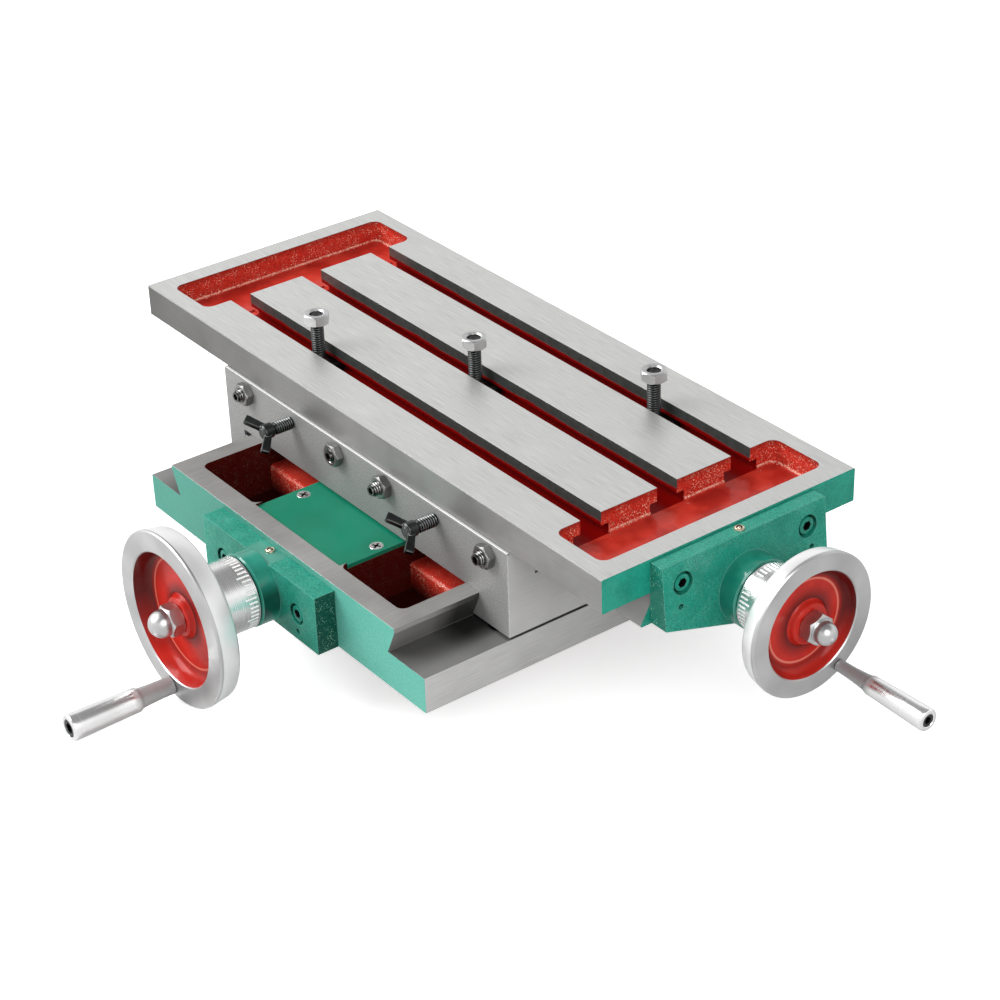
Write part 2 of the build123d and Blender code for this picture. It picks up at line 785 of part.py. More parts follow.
with BuildPart() as table:
    with Locations((table_rest_x, saddle_rest_y, table_bottom)):
        Box(table_length, table_depth, slab_thickness, align=CENTRE_LOW)
    chamfer(table.edges(), edge_chamfer)
    with BuildSketch(table_left):
        with BuildLine():
            Polyline(
                *dovetail(
                    tongue_half_width, tongue_land, tongue_bottom, table_bottom, tongue_angle
                ),
                close=True,
            )
        make_face()
    extrude(amount=table_length)
    with BuildSketch(table_left):
        with Locations((0, tongue_bottom + screw_channel_height / 2)):
            Rectangle(2 * screw_channel_half, screw_channel_height)
    extrude(amount=table_length, mode=Mode.SUBTRACT)
    # End pockets
    pocket_x = (pocket_inner_x + pocket_outer_x) / 2
    with BuildSketch(Plane.XY.offset(table_top)):
        with Locations((table_rest_x, saddle_rest_y)):
            with GridLocations(2 * pocket_x, 1, 2, 1):
                RectangleRounded(pocket_outer_x - pocket_inner_x, pocket_depth_y, pocket_radius)
    extrude(amount=-pocket_sink, mode=Mode.SUBTRACT)
    pocket_floor_z = table_top - pocket_sink
    floor_edges = table.edges().filter_by_position(
        Axis.Z, pocket_floor_z - slide_gap, pocket_floor_z + slide_gap
    )
    fillet(floor_edges, pocket_floor_fillet)
    # T-slots
    with BuildSketch(table_left.offset(table_length / 2 - pocket_inner_x - slot_run)):
        with Locations((0, table_top - slot_throat / 2)):
            with GridLocations(slot_pitch, 1, 3, 1):
                Rectangle(slot_width, slot_throat)
        with Locations((0, slot_bottom + slot_tee_height / 2)):
            with GridLocations(slot_pitch, 1, 3, 1):
                Rectangle(slot_tee_width, slot_tee_height)
    extrude(amount=2 * (pocket_inner_x + slot_run), mode=Mode.SUBTRACT)
    # Screw and dowel holes of the end bracket
    with BuildSketch(table_end):
        with Locations(*end_screw_places):
            Circle(bracket_screw_radius + fit_gap)
        with Locations(*end_dowel_places):
            Circle(dowel_radius + fit_gap)
    extrude(amount=-(bracket_screw_length - end_bracket_top_thickness), mode=Mode.SUBTRACT)
table.part.label = "table"

# Levels of the brackets' screw heads, from the faces they are bolted to
front_screw_top = bracket_thickness - bracket_screw_sink
end_screw_top = (
    end_bracket_top_thickness
    + (end_screw_drop - end_bracket_top_drop) * tan(radians(end_bracket_draft))
    - bracket_screw_sink
)
front_dowel_top = bracket_thickness - dowel_sink
end_dowel_top = (
    end_bracket_top_thickness
    + (end_dowel_drop - end_bracket_top_drop) * tan(radians(end_bracket_draft))
    - dowel_sink
)
end_bracket_top = table_top - end_bracket_top_drop


def bracket_holes(face, height, boss_reach, screw_places, dowel_places, screw_top):
    """Solids to cut from a bracket: bore, collar recess, screw and dowel holes."""
    with BuildPart() as holes:
        with BuildSketch(face):
            with Locations((0, height)):
                Circle(collar_radius + seat_gap)
        extrude(amount=recess_depth)
        with BuildSketch(face):
            with Locations((0, height)):
                Circle(bush_radius + fit_gap)
            with Locations(*screw_places):
                Circle(bracket_screw_radius + fit_gap)
            with Locations(*dowel_places):
                Circle(dowel_radius + fit_gap)
        extrude(amount=boss_reach)
        with BuildSketch(face.offset(screw_top - bracket_screw_head_depth)):
            with Locations(*screw_places):
                Circle(bracket_screw_recess_radius)
        extrude(amount=boss_reach)
    return holes.part


def oiler_seat(face, top):
    """Level plane at the middle of a bracket's top face, where its ball oiler sits."""
    return Plane(origin=face.from_local_coords(Vector(0, top, oiler_inset)))


def oiler_holes(seat, depth):
    """Solids to cut from a bracket: the ball oiler's seat and the oil way to its bore."""
    with BuildPart() as holes:
        with BuildSketch(seat):
            Circle(oiler_radius + fit_gap)
        extrude(amount=-oiler_depth)
        with BuildSketch(seat):
            Circle(oil_way_radius)
        extrude(amount=-depth)
    return holes.part


def ball_oiler(seat):
    """A brass plug with a rounded head and a sprung ball at its middle."""
    with BuildPart() as oiler:
        with BuildSketch(seat.offset(seat_gap - oiler_depth)):
            Circle(oiler_radius)
        extrude(amount=oiler_depth - seat_gap + oiler_crown)
        fillet(oiler.edges().group_by(Axis.Z)[-1], oiler_crown)
        with Locations(seat.offset(oiler_crown - oiler_ball_radius / 2)):
            Sphere(oiler_ball_radius)
    return oiler.part


def dowel_pins(face, places, top):
    """Straight dowel pins, chamfered at both ends, sunk below a bracket's face."""
    with BuildPart() as pins:
        with BuildSketch(face.offset(top)):
            with Locations(*places):
                Circle(dowel_radius)
        extrude(amount=-dowel_length)
        chamfer(pins.edges().filter_by(GeomType.CIRCLE), seat_gap)
    return pins.part


# Front bracket: rectangular casting bolted to the base, with a boss for the cross screw
with BuildPart() as front_bracket:
    with BuildSketch(front_face):
        with Locations((0, bracket_height / 2)):
            Rectangle(bracket_width, bracket_height)
    extrude(amount=bracket_thickness)
    with BuildSketch(front_face.offset(bracket_thickness)):
        with Locations((0, cross_screw_height)):
            Circle(front_boss_radius)
    extrude(amount=bracket_boss_reach - bracket_thickness)
    chamfer(front_bracket.edges().group_by(Axis.Y)[0], cast_edge_round)
    add(
        bracket_holes(
            front_face,
            cross_screw_height,
            bracket_boss_reach,
            front_screw_places,
            front_dowel_places,
            front_screw_top,
        ),
        mode=Mode.SUBTRACT,
    )
    add(
        oiler_holes(oiler_seat(front_face, bracket_height), bracket_height - cross_screw_height),
        mode=Mode.SUBTRACT,
    )
front_bracket.part.label = "front_bracket"

# End bracket: leaning plate whose lower edge runs tangent into the boss
with BuildPart() as end_bracket:
    with BuildSketch(table_end):
        with Locations((0, end_bracket_top - end_bracket_side_height / 2)):
            Rectangle(end_bracket_width, end_bracket_side_height)
        with Locations((0, long_screw_height)):
            Circle(end_boss_radius)
        make_hull()
    extrude(amount=end_bracket_boss_reach)
    with BuildSketch(Plane.XZ.offset(-saddle_rest_y)):
        lean = tan(radians(end_bracket_draft))
        low_z = long_screw_height - end_boss_radius
        low_x = end_bracket_top_thickness + (end_bracket_top - low_z) * lean
        with BuildLine():
            Polyline(
                (table_end_x, end_bracket_top),
                (table_end_x, low_z),
                (table_end_x + low_x, low_z),
                (table_end_x + end_bracket_top_thickness, end_bracket_top),
                close=True,
            )
        make_face()
    extrude(amount=end_bracket_width, both=True, mode=Mode.INTERSECT)
    with BuildSketch(table_end):
        with Locations((0, long_screw_height)):
            Circle(end_boss_radius)
    extrude(amount=end_bracket_boss_reach)
    chamfer(end_bracket.edges().group_by(Axis.X)[-1], cast_edge_round)
    add(
        bracket_holes(
            table_end,
            long_screw_height,
            end_bracket_boss_reach,
            end_screw_places,
            end_dowel_places,
            end_screw_top,
        ),
        mode=Mode.SUBTRACT,
    )
    add(
        oiler_holes(oiler_seat(table_end, end_bracket_top), end_bracket_top - long_screw_height),
        mode=Mode.SUBTRACT,
    )
end_bracket.part.label = "end_bracket"

# Screws, dowels, oilers and bushes of the two brackets
with BuildPart() as front_bracket_screws:
    add(
        socket_screws(
            front_face.offset(front_screw_top),
            front_screw_places,
            bracket_screw_radius,
            bracket_screw_length - bracket_screw_head_depth - bracket_screw_sink - seat_gap,
            bracket_screw_head_radius,
            bracket_screw_head_depth,
        )
    )
front_bracket_screws.part.label = "front_bracket_screws"

with BuildPart() as end_bracket_screws:
    add(
        socket_screws(
            table_end.offset(end_screw_top),
            end_screw_places,
            bracket_screw_radius,
            bracket_screw_length - bracket_screw_head_depth - bracket_screw_sink - seat_gap,
            bracket_screw_head_radius,
            bracket_screw_head_depth,
        )
    )
end_bracket_screws.part.label = "end_bracket_screws"

with BuildPart() as front_dowels:
    add(dowel_pins(front_face, front_dowel_places, front_dowel_top))
front_dowels.part.label = "front_dowels"

with BuildPart() as end_dowels:
    add(dowel_pins(table_end, end_dowel_places, end_dowel_top))
end_dowels.part.label = "end_dowels"

with BuildPart() as front_oiler:
    add(ball_oiler(oiler_seat(front_face, bracket_height)))
front_oiler.part.label = "front_oiler"

with BuildPart() as end_oiler:
    add(ball_oiler(oiler_seat(table_end, end_bracket_top)))
end_oiler.part.label = "end_oiler"


def ring(face, height, start, end, outer_radius, inner_radius):
    """A plain ring about a screw's axis, between two distances from a face."""
    with BuildPart() as ring_piece:
        with BuildSketch(face.offset(start)):
            with Locations((0, height)):
                Circle(outer_radius)
                Circle(inner_radius, mode=Mode.SUBTRACT)
        extrude(amount=end - start)
    return ring_piece.part


washer_start = collar_thickness + 2 * slide_gap
washer_end = washer_start + washer_thickness

with BuildPart() as front_bush:
    add(
        ring(
            front_face,
            cross_screw_height,
            recess_depth,
            bracket_boss_reach,
            bush_radius,
            journal_radius + fit_gap,
        )
    )
front_bush.part.label = "front_bush"

with BuildPart() as end_bush:
    add(
        ring(
            table_end,
            long_screw_height,
            recess_depth,
            end_bracket_boss_reach,
            bush_radius,
            journal_radius + fit_gap,
        )
    )
end_bush.part.label = "end_bush"

with BuildPart() as cross_thrust_washer:
    add(
        ring(
            front_face,
            cross_screw_height,
            washer_start,
            washer_end,
            collar_radius,
            journal_radius + fit_gap,
        )
    )
cross_thrust_washer.part.label = "cross_thrust_washer"

with BuildPart() as long_thrust_washer:
    add(
        ring(
            table_end,
            long_screw_height,
            washer_start,
            washer_end,
            collar_radius,
            journal_radius + fit_gap,
        )
    )
long_thrust_washer.part.label = "long_thrust_washer"

# Lead screws with their dials, handwheels, keys and cap nuts. Distances along each
# screw are measured outward from the face that its bracket is bolted to
cross_shaft = side_plane((0, base_front_y, cross_screw_height), (0, -1, 0))
long_shaft = side_plane((table_end_x, saddle_rest_y, long_screw_height), (1, 0, 0))

front_dial_start = bracket_boss_reach + seat_gap
front_wheel_back = front_dial_start + front_dial_length
front_wheel_front = front_wheel_back + front_wheel_thickness
front_hub_front = front_wheel_back + web_thickness + web_dish + hub_lift
end_dial_start = end_bracket_boss_reach + seat_gap
end_wheel_back = end_dial_start + end_dial_length
end_wheel_front = end_wheel_back + end_wheel_thickness
end_hub_front = end_wheel_back + web_thickness + web_dish + hub_lift


def lead_screw(shaft, length, hub_front, key_start):
    """A lead screw: threaded part, collar, journal and keyed end for the wheel and nut."""
    screw_end = hub_front + end_nut_height
    with BuildPart() as screw:
        add(
            turned(
                shaft,
                [
                    (-length, 0),
                    (-length, lead_screw_radius - lead_screw_end_chamfer),
                    (-length + lead_screw_end_chamfer, lead_screw_radius),
                    (slide_gap, lead_screw_radius),
                    (slide_gap, collar_radius),
                    (slide_gap + collar_thickness, collar_radius),
                    (slide_gap + collar_thickness, journal_radius),
                    (screw_end, journal_radius),
                    (screw_end, 0),
                ],
            )
        )
        with BuildSketch(shaft.offset(-key_size / 2 - fit_gap)):
            with Locations((key_start + key_length / 2, journal_radius)):
                Rectangle(key_length + 2 * fit_gap, key_size + 2 * fit_gap)
        extrude(amount=key_size + 2 * fit_gap, mode=Mode.SUBTRACT)
    return screw.part


def drive_key(shaft, key_start):
    """The key that drives a lead screw from its handwheel."""
    with BuildPart() as key:
        with BuildSketch(shaft.offset(-key_size / 2)):
            with Locations((key_start + key_length / 2, journal_radius)):
                SlotOverall(key_length, key_size)
        extrude(amount=key_size)
    return key.part


def dial(shaft, start, length, dial_radius):
    """A graduated sleeve that fits over the handwheel's hub."""
    with BuildPart() as sleeve:
        add(
            turned(
                shaft,
                [
                    (start, hub_radius + fit_gap),
                    (start, dial_radius - dial_chamfer),
                    (start + dial_chamfer, dial_radius),
                    (start + length - dial_chamfer, dial_radius),
                    (start + length, dial_radius - dial_chamfer),
                    (start + length, hub_radius + fit_gap),
                ],
            )
        )
    return sleeve.part


def handwheel(shaft, hub_back, back, thickness, radius, ring_width, grip_place, spindle_radius):
    """A dished handwheel: ring, web and hub, with its keyway and the spindle's hole."""
    ring_inner = radius - ring_width
    web_outer = ring_inner - ring_draft
    web_front = back + web_thickness
    hub_front = web_front + web_dish + hub_lift
    back_radius = radius - thickness * tan(radians(rim_draft))
    with BuildPart() as wheel:
        add(
            turned(
                shaft,
                [
                    (hub_back, journal_radius + fit_gap),
                    (hub_back, hub_radius),
                    (back, hub_radius),
                    (back, back_radius),
                    (back + thickness, radius),
                    (back + thickness, ring_inner),
                    (web_front, web_outer),
                    (web_front + web_dish, hub_radius),
                    (hub_front, hub_radius - web_dish),
                    (hub_front, journal_radius + fit_gap),
                ],
            )
        )
        rims = wheel.edges().filter_by(GeomType.CIRCLE)
        fillet(rims.filter_by(lambda edge: edge.radius > back_radius - slide_gap), rim_round)
        front_plane = Plane(
            origin=shaft.from_local_coords(Vector(back + thickness, 0, 0)),
            x_dir=Vector(0, 0, 1).cross(shaft.x_dir),
            z_dir=shaft.x_dir,
        )
        with BuildSketch(front_plane):
            with Locations(grip_place):
                Circle(spindle_radius + fit_gap)
        extrude(amount=-(spindle_thread_length + seat_gap), mode=Mode.SUBTRACT)
        key_start = hub_front - key_length
        with BuildSketch(shaft.offset(-key_size / 2 - fit_gap)):
            with Locations((key_start + key_length / 2, journal_radius)):
                Rectangle(key_length + 2 * fit_gap, key_size + 2 * fit_gap)
        extrude(amount=key_size + 2 * fit_gap, mode=Mode.SUBTRACT)
    return wheel.part


def cap_nut(shaft, start, across_flats, height, dome_radius, dome_reach):
    """A domed nut: chamfered hexagon with a ball end, bored blind for the screw."""
    corner_radius = across_flats / 2 / cos(radians(30))
    corner_cut = corner_radius - across_flats / 2
    seat = Plane(origin=shaft.from_local_coords(Vector(start, 0, 0)), z_dir=shaft.x_dir)
    dome_centre = start + height + dome_reach - dome_radius
    with BuildPart() as nut:
        with BuildSketch(seat):
            Circle(corner_radius)
        extrude(amount=height)
        rims = nut.edges().filter_by(GeomType.CIRCLE)
        chamfer(rims, length=corner_cut * 0.6, length2=corner_cut)
        with BuildSketch(seat):
            RegularPolygon(corner_radius, 6)
        extrude(amount=height, mode=Mode.INTERSECT)
        with BuildSketch(shaft):
            with BuildLine():
                Polyline((start, 0), (start, dome_radius), (dome_centre, dome_radius))
                CenterArc((dome_centre, 0), dome_radius, 0, 90)
                Line((dome_centre + dome_radius, 0), (start, 0))
            make_face()
        revolve(axis=Axis(shaft.origin, shaft.x_dir))
        with BuildSketch(seat):
            Circle(journal_radius + fit_gap)
        extrude(amount=end_nut_height + seat_gap, mode=Mode.SUBTRACT)
    return nut.part


def grip_axis(shaft, place, start):
    """A plane along a grip: local x outward from the wheel's front face, on its axis."""
    across = Vector(0, 0, 1).cross(shaft.x_dir)
    origin = shaft.from_local_coords(Vector(start, place[1], 0)) + across * place[0]
    return Plane(origin=origin, x_dir=shaft.x_dir, z_dir=shaft.z_dir)


def hand_grip(
    axis_plane,
    length,
    root_radius,
    neck_radius,
    neck_length,
    shoulder_radius,
    end_radius,
    spindle_radius,
):
    """A turned grip: slim waisted neck, flare, long taper and a pocket for the screw head."""
    flare_end = neck_length + grip_flare_length
    bore = spindle_radius + seat_gap
    pocket = spindle_radius * 5 / 3 + seat_gap
    pocket_depth = spindle_head_depth + spindle_head_sink + seat_gap
    with BuildPart() as grip:
        with BuildSketch(axis_plane):
            with BuildLine():
                Line((seat_gap, bore), (seat_gap, root_radius))
                Spline(
                    (seat_gap, root_radius),
                    (neck_length, neck_radius),
                    (flare_end, shoulder_radius),
                    tangents=[(1, 0), (1, 0)],
                )
                Line((flare_end, shoulder_radius), (length - grip_edge_round, end_radius))
                RadiusArc(
                    (length - grip_edge_round, end_radius),
                    (length, end_radius - grip_edge_round),
                    grip_edge_round,
                )
                Polyline(
                    (length, end_radius - grip_edge_round),
                    (length, pocket),
                    (length - pocket_depth, pocket),
                    (length - pocket_depth, bore),
                    (seat_gap, bore),
                )
            make_face()
        revolve(axis=Axis(axis_plane.origin, axis_plane.x_dir))
    return grip.part


def grip_spindle(axis_plane, length, spindle_radius):
    """The shoulder screw that a grip turns on, its socket head inside the grip's end."""
    head_top = length - spindle_head_sink
    head_plane = Plane(
        origin=axis_plane.from_local_coords(Vector(head_top, 0, 0)), z_dir=axis_plane.x_dir
    )
    return socket_screws(
        head_plane,
        [(0, 0)],
        spindle_radius,
        head_top - spindle_head_depth + spindle_thread_length,
        spindle_radius * 5 / 3,
        spindle_head_depth,
    )


with BuildPart() as cross_lead_screw:
    add(lead_screw(cross_shaft, cross_screw_length, front_hub_front, front_hub_front - key_length))
cross_lead_screw.part.label = "cross_lead_screw"

with BuildPart() as long_lead_screw:
    add(lead_screw(long_shaft, long_screw_length, end_hub_front, end_hub_front - key_length))
long_lead_screw.part.label = "long_lead_screw"

with BuildPart() as cross_key:
    add(drive_key(cross_shaft, front_hub_front - key_length))
cross_key.part.label = "cross_key"

with BuildPart() as long_key:
    add(drive_key(long_shaft, end_hub_front - key_length))
long_key.part.label = "long_key"

with BuildPart() as front_dial:
    add(
        dial(
            cross_shaft, front_dial_start, front_dial_length - slide_gap, front_dial_radius
        )
    )
front_dial.part.label = "front_dial"

with BuildPart() as end_dial:
    add(dial(long_shaft, end_dial_start, end_dial_length - slide_gap, end_dial_radius))
end_dial.part.label = "end_dial"

with BuildPart() as front_handwheel:
    add(
        handwheel(
            cross_shaft,
            front_dial_start,
            front_wheel_back,
            front_wheel_thickness,
            front_wheel_radius,
            front_ring_width,
            front_grip_place,
            front_spindle_radius,
        )
    )
front_handwheel.part.label = "front_handwheel"

with BuildPart() as end_handwheel:
    add(
        handwheel(
            long_shaft,
            end_dial_start,
            end_wheel_back,
            end_wheel_thickness,
            end_wheel_radius,
            end_ring_width,
            end_grip_place,
            end_spindle_radius,
        )
    )
end_handwheel.part.label = "end_handwheel"

with BuildPart() as front_cap_nut:
    add(
        cap_nut(
            cross_shaft,
            front_hub_front,
            front_nut_across_flats,
            front_nut_height,
            front_dome_radius,
            front_dome_reach,
        )
    )
front_cap_nut.part.label = "front_cap_nut"

with BuildPart() as end_cap_nut:
    add(
        cap_nut(
            long_shaft,
            end_hub_front,
            end_nut_across_flats,
            end_nut_height,
            end_dome_radius,
            end_dome_reach,
        )
    )
end_cap_nut.part.label = "end_cap_nut"

front_grip_axis = grip_axis(cross_shaft, front_grip_place, front_wheel_front)
end_grip_axis = grip_axis(long_shaft, end_grip_place, end_wheel_front)

with BuildPart() as front_grip:
    add(
        hand_grip(
            front_grip_axis,
            front_grip_length,
            front_grip_root_radius,
            front_grip_neck_radius,
            front_grip_neck_length,
            front_grip_shoulder_radius,
            front_grip_end_radius,
            front_spindle_radius,
        )
    )
front_grip.part.label = "front_grip"

with BuildPart() as end_grip:
    add(
        hand_grip(
            end_grip_axis,
            end_grip_length,
            end_grip_root_radius,
            end_grip_neck_radius,
            end_grip_neck_length,
            end_grip_shoulder_radius,
            end_grip_end_radius,
            end_spindle_radius,
        )
    )
end_grip.part.label = "end_grip"

with BuildPart() as front_grip_spindle:
    add(grip_spindle(front_grip_axis, front_grip_length, front_spindle_radius))
front_grip_spindle.part.label = "front_grip_spindle"

with BuildPart() as end_grip_spindle:
    add(grip_spindle(end_grip_axis, end_grip_length, end_spindle_radius))
end_grip_spindle.part.label = "end_grip_spindle"

# T-bolts, one in each slot, and their nuts
bolt_places = [
    (table_rest_x + bolt_rest_x[i], saddle_rest_y + (i - 1) * slot_pitch) for i in range(3)
]
bolt_head_bottom = slot_bottom + slide_gap
bolt_top = table_top + bolt_nut_top - bolt_end_recess


def t_bolt(place):
    """A T-bolt that stands in its slot: flat rectangular head and a plain round shank."""
    with BuildPart() as bolt:
        with Locations((place[0], place[1], bolt_head_bottom)):
            Box(bolt_head_width, bolt_head_width, bolt_head_height, align=CENTRE_LOW)
        chamfer(bolt.edges().filter_by(Axis.Z), edge_chamfer)
        with BuildSketch(Plane.XY.offset(bolt_head_bottom)):
            with Locations(place):
                Circle(bolt_radius)
        extrude(amount=bolt_top - bolt_head_bottom)
        chamfer(bolt.edges().group_by(Axis.Z)[-1], edge_chamfer)
    return bolt.part


def t_bolt_nut(place):
    """The hexagon nut at the top of a T-bolt."""
    return hex_nuts(
        Plane.XY.offset(table_top + bolt_nut_top - bolt_nut_thickness),
        [place],
        bolt_nut_across_flats,
        bolt_nut_thickness,
        bolt_radius + fit_gap,
    )


with BuildPart() as t_bolt_front:
    add(t_bolt(bolt_places[0]))
t_bolt_front.part.label = "t_bolt_front"

with BuildPart() as t_bolt_middle:
    add(t_bolt(bolt_places[1]))
t_bolt_middle.part.label = "t_bolt_middle"

with BuildPart() as t_bolt_rear:
    add(t_bolt(bolt_places[2]))
t_bolt_rear.part.label = "t_bolt_rear"

with BuildPart() as t_bolt_nut_front:
    add(t_bolt_nut(bolt_places[0]))
t_bolt_nut_front.part.label = "t_bolt_nut_front"

with BuildPart() as t_bolt_nut_middle:
    add(t_bolt_nut(bolt_places[1]))
t_bolt_nut_middle.part.label = "t_bolt_nut_middle"

with BuildPart() as t_bolt_nut_rear:
    add(t_bolt_nut(bolt_places[2]))
t_bolt_nut_rear.part.label = "t_bolt_nut_rear"

# One file for each piece
pieces = [
    base_casting,
    cover_plate,
    cover_plate_screws,
    front_bracket,
    front_bracket_screws,
    front_dowels,
    front_oiler,
    front_bush,
    saddle,
    long_gib,
    cross_gib,
    long_gib_screws,
    long_gib_nuts,
    cross_gib_screws,
    cross_gib_nuts,
    long_lock_left,
    long_lock_right,
    cross_lock,
    long_feed_nut,
    cross_feed_nut,
    feed_nut_screws,
    table,
    end_bracket,
    end_bracket_screws,
    end_dowels,
    end_oiler,
    end_bush,
    cross_lead_screw,
    cross_thrust_washer,
    cross_key,
    front_dial,
    front_handwheel,
    front_cap_nut,
    front_grip_spindle,
    front_grip,
    long_lead_screw,
    long_thrust_washer,
    long_key,
    end_dial,
    end_handwheel,
    end_cap_nut,
    end_grip_spindle,
    end_grip,
    t_bolt_front,
    t_bolt_middle,
    t_bolt_rear,
    t_bolt_nut_front,
    t_bolt_nut_middle,
    t_bolt_nut_rear,
]
os.makedirs("parts", exist_ok=True)
for piece in pieces:
    export_step(piece.part, f"parts/{piece.part.label}.step")
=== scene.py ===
import json
from math import cos, pi, radians, sin, sqrt, tau

import bmesh
import bpy
from mathutils import Matrix, Vector

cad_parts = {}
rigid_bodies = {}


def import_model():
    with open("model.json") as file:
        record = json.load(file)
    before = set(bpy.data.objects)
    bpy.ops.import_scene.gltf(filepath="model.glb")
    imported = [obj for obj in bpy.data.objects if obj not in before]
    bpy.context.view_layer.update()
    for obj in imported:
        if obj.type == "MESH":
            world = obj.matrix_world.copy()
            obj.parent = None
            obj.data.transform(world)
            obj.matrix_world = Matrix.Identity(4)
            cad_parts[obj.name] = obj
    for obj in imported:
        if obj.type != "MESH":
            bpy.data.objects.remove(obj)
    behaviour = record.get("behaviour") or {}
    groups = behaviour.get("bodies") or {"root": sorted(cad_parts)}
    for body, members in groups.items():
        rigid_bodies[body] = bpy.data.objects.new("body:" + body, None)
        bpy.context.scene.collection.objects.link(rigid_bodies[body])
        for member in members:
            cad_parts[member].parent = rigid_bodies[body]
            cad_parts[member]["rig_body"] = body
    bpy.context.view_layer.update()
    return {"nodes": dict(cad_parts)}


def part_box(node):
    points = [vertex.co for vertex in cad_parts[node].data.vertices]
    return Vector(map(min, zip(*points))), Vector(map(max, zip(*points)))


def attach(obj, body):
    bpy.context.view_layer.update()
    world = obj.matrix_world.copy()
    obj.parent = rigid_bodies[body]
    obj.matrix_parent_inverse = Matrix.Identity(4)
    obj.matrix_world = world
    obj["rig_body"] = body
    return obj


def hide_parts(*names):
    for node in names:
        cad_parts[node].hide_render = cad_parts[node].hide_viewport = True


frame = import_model()
nodes = frame["nodes"]

# Lengths are in millimetres unless a name or comment says otherwise
MM = 0.001
X, Y, Z = range(3)
UP = Vector((0, 0, 1))
FRONT = Vector((0, -1, 0))
RIGHT = Vector((1, 0, 0))
LEFT = Vector((-1, 0, 0))


def node_box(name):
    """Lowest and highest corners of a CAD node."""
    low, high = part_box(name)
    return low / MM, high / MM


def reach_along(name, direction):
    """Where a CAD node starts and stops along a direction."""
    low, high = node_box(name)
    return sorted((low.dot(direction), high.dot(direction)))


def axis_point(name, direction):
    """The middle of a CAD node, level with the origin along a direction."""
    low, high = node_box(name)
    centre = (low + high) / 2
    return centre - direction * centre.dot(direction)


table_low, table_high = node_box("table")
base_low, base_high = node_box("base_casting")
saddle_low, saddle_high = node_box("saddle")
table_centre = (table_low + table_high) / 2
table_top = table_high.z

# Sizes of the castings that their finishes follow
SLOT_PITCH = 52.7
SLOT_HALF = 7.1
SLOT_THROAT = 8.5
SLOT_DEPTH = 15.5
PAINT_LINE = 4.8
POCKET_END_WALL = 13.6
POCKET_SIDE_WALL = 10.9
POCKET_WIDTH = 39.4
BAY_HALF = 102.5
BASE_WALL = 12.0
WALL_PAINT = 1.5
BASE_FLOOR = 6.0
SHELF_TOP = 22.2
SHELF_WIDTH = 35
EDGE = 0.06

# Sizes of the turned and threaded pieces
FIT = 0.05
HUB_RADIUS = 13.0
HUB_LIFT = 4.0
WEB_THICKNESS = 3.5
WEB_DISH = 1.5
WEB_COVE = 5.0
RING_DRAFT = 2.2
RIM_TAPER = 0.1584
RIM_ROUND = 2.2
JOURNAL_RADIUS = 5.0
CORNER_ROUND = 0.4
ROUND_STEPS = 3
DIAL_DIVISIONS = 50
BOLT_RADIUS = 4.0
BOLT_HEAD_HEIGHT = 6.0
THREAD_PITCH = 1.5
THREAD_DEPTH = 0.8
THREAD_ROWS = 6
T_NUT_FLATS = 14.4
T_NUT_TURN = radians(-6)
SET_SCREW_RADIUS = 3.0
SET_SCREW_THREAD = 4.0
SET_SCREW_POINT = 2.2
SOCKET_FLATS = 4.0
JAM_NUT_FLATS = 13.0
BRACKET_SCREW_RADIUS = 3.0
BRACKET_HEAD_RADIUS = 5.0
BRACKET_HEAD_HEIGHT = 6.0
SPINDLE_HEAD_HEIGHT = 4.0
PLATE_SCREW_RADIUS = 1.9
PLATE_HEAD_RADIUS = 4.2
LOCK_HUB_RADIUS = 4.6
LOCK_HUB_LENGTH = 7.0
LOCK_WING_LIFT = 6.5
LOCK_WING_REACH = 13.0
LOCK_WING_ANGLE = radians(145)
FLOOR_HEIGHT = -37.5
FLOOR_REACH = 6000.0


def rgba(red, green, blue):
    return (red, green, blue, 1.0)


IRON_DARK = rgba(0.53, 0.53, 0.52)
IRON_LIGHT = rgba(0.73, 0.73, 0.72)
IRON_SIDE_DARK = rgba(0.25, 0.247, 0.24)
IRON_SIDE_LIGHT = rgba(0.35, 0.347, 0.34)
IRON_EDGE = rgba(0.86, 0.86, 0.85)
GREEN = rgba(0.016, 0.28, 0.20)
GREEN_DEEP = rgba(0.002, 0.13, 0.088)
GREEN_PALE = rgba(0.16, 0.47, 0.39)
RED = rgba(0.60, 0.046, 0.028)
RED_DEEP = rgba(0.30, 0.010, 0.006)
RED_SHADE = rgba(0.018, 0.0015, 0.001)
# Colour of the painted glints and cove highlights on enamel
PAINTED_GLINT = rgba(0.86, 0.56, 0.42)
BRIGHT = rgba(0.85, 0.85, 0.84)

# Width of a grinding mark, and how many times longer it is
MARK_WIDTH = 0.3
MARK_STRETCH = 70

# How strongly enamel reflects, and how much clear coat it has
PAINT_SHINE = 0.08
PAINT_COAT = 0.28


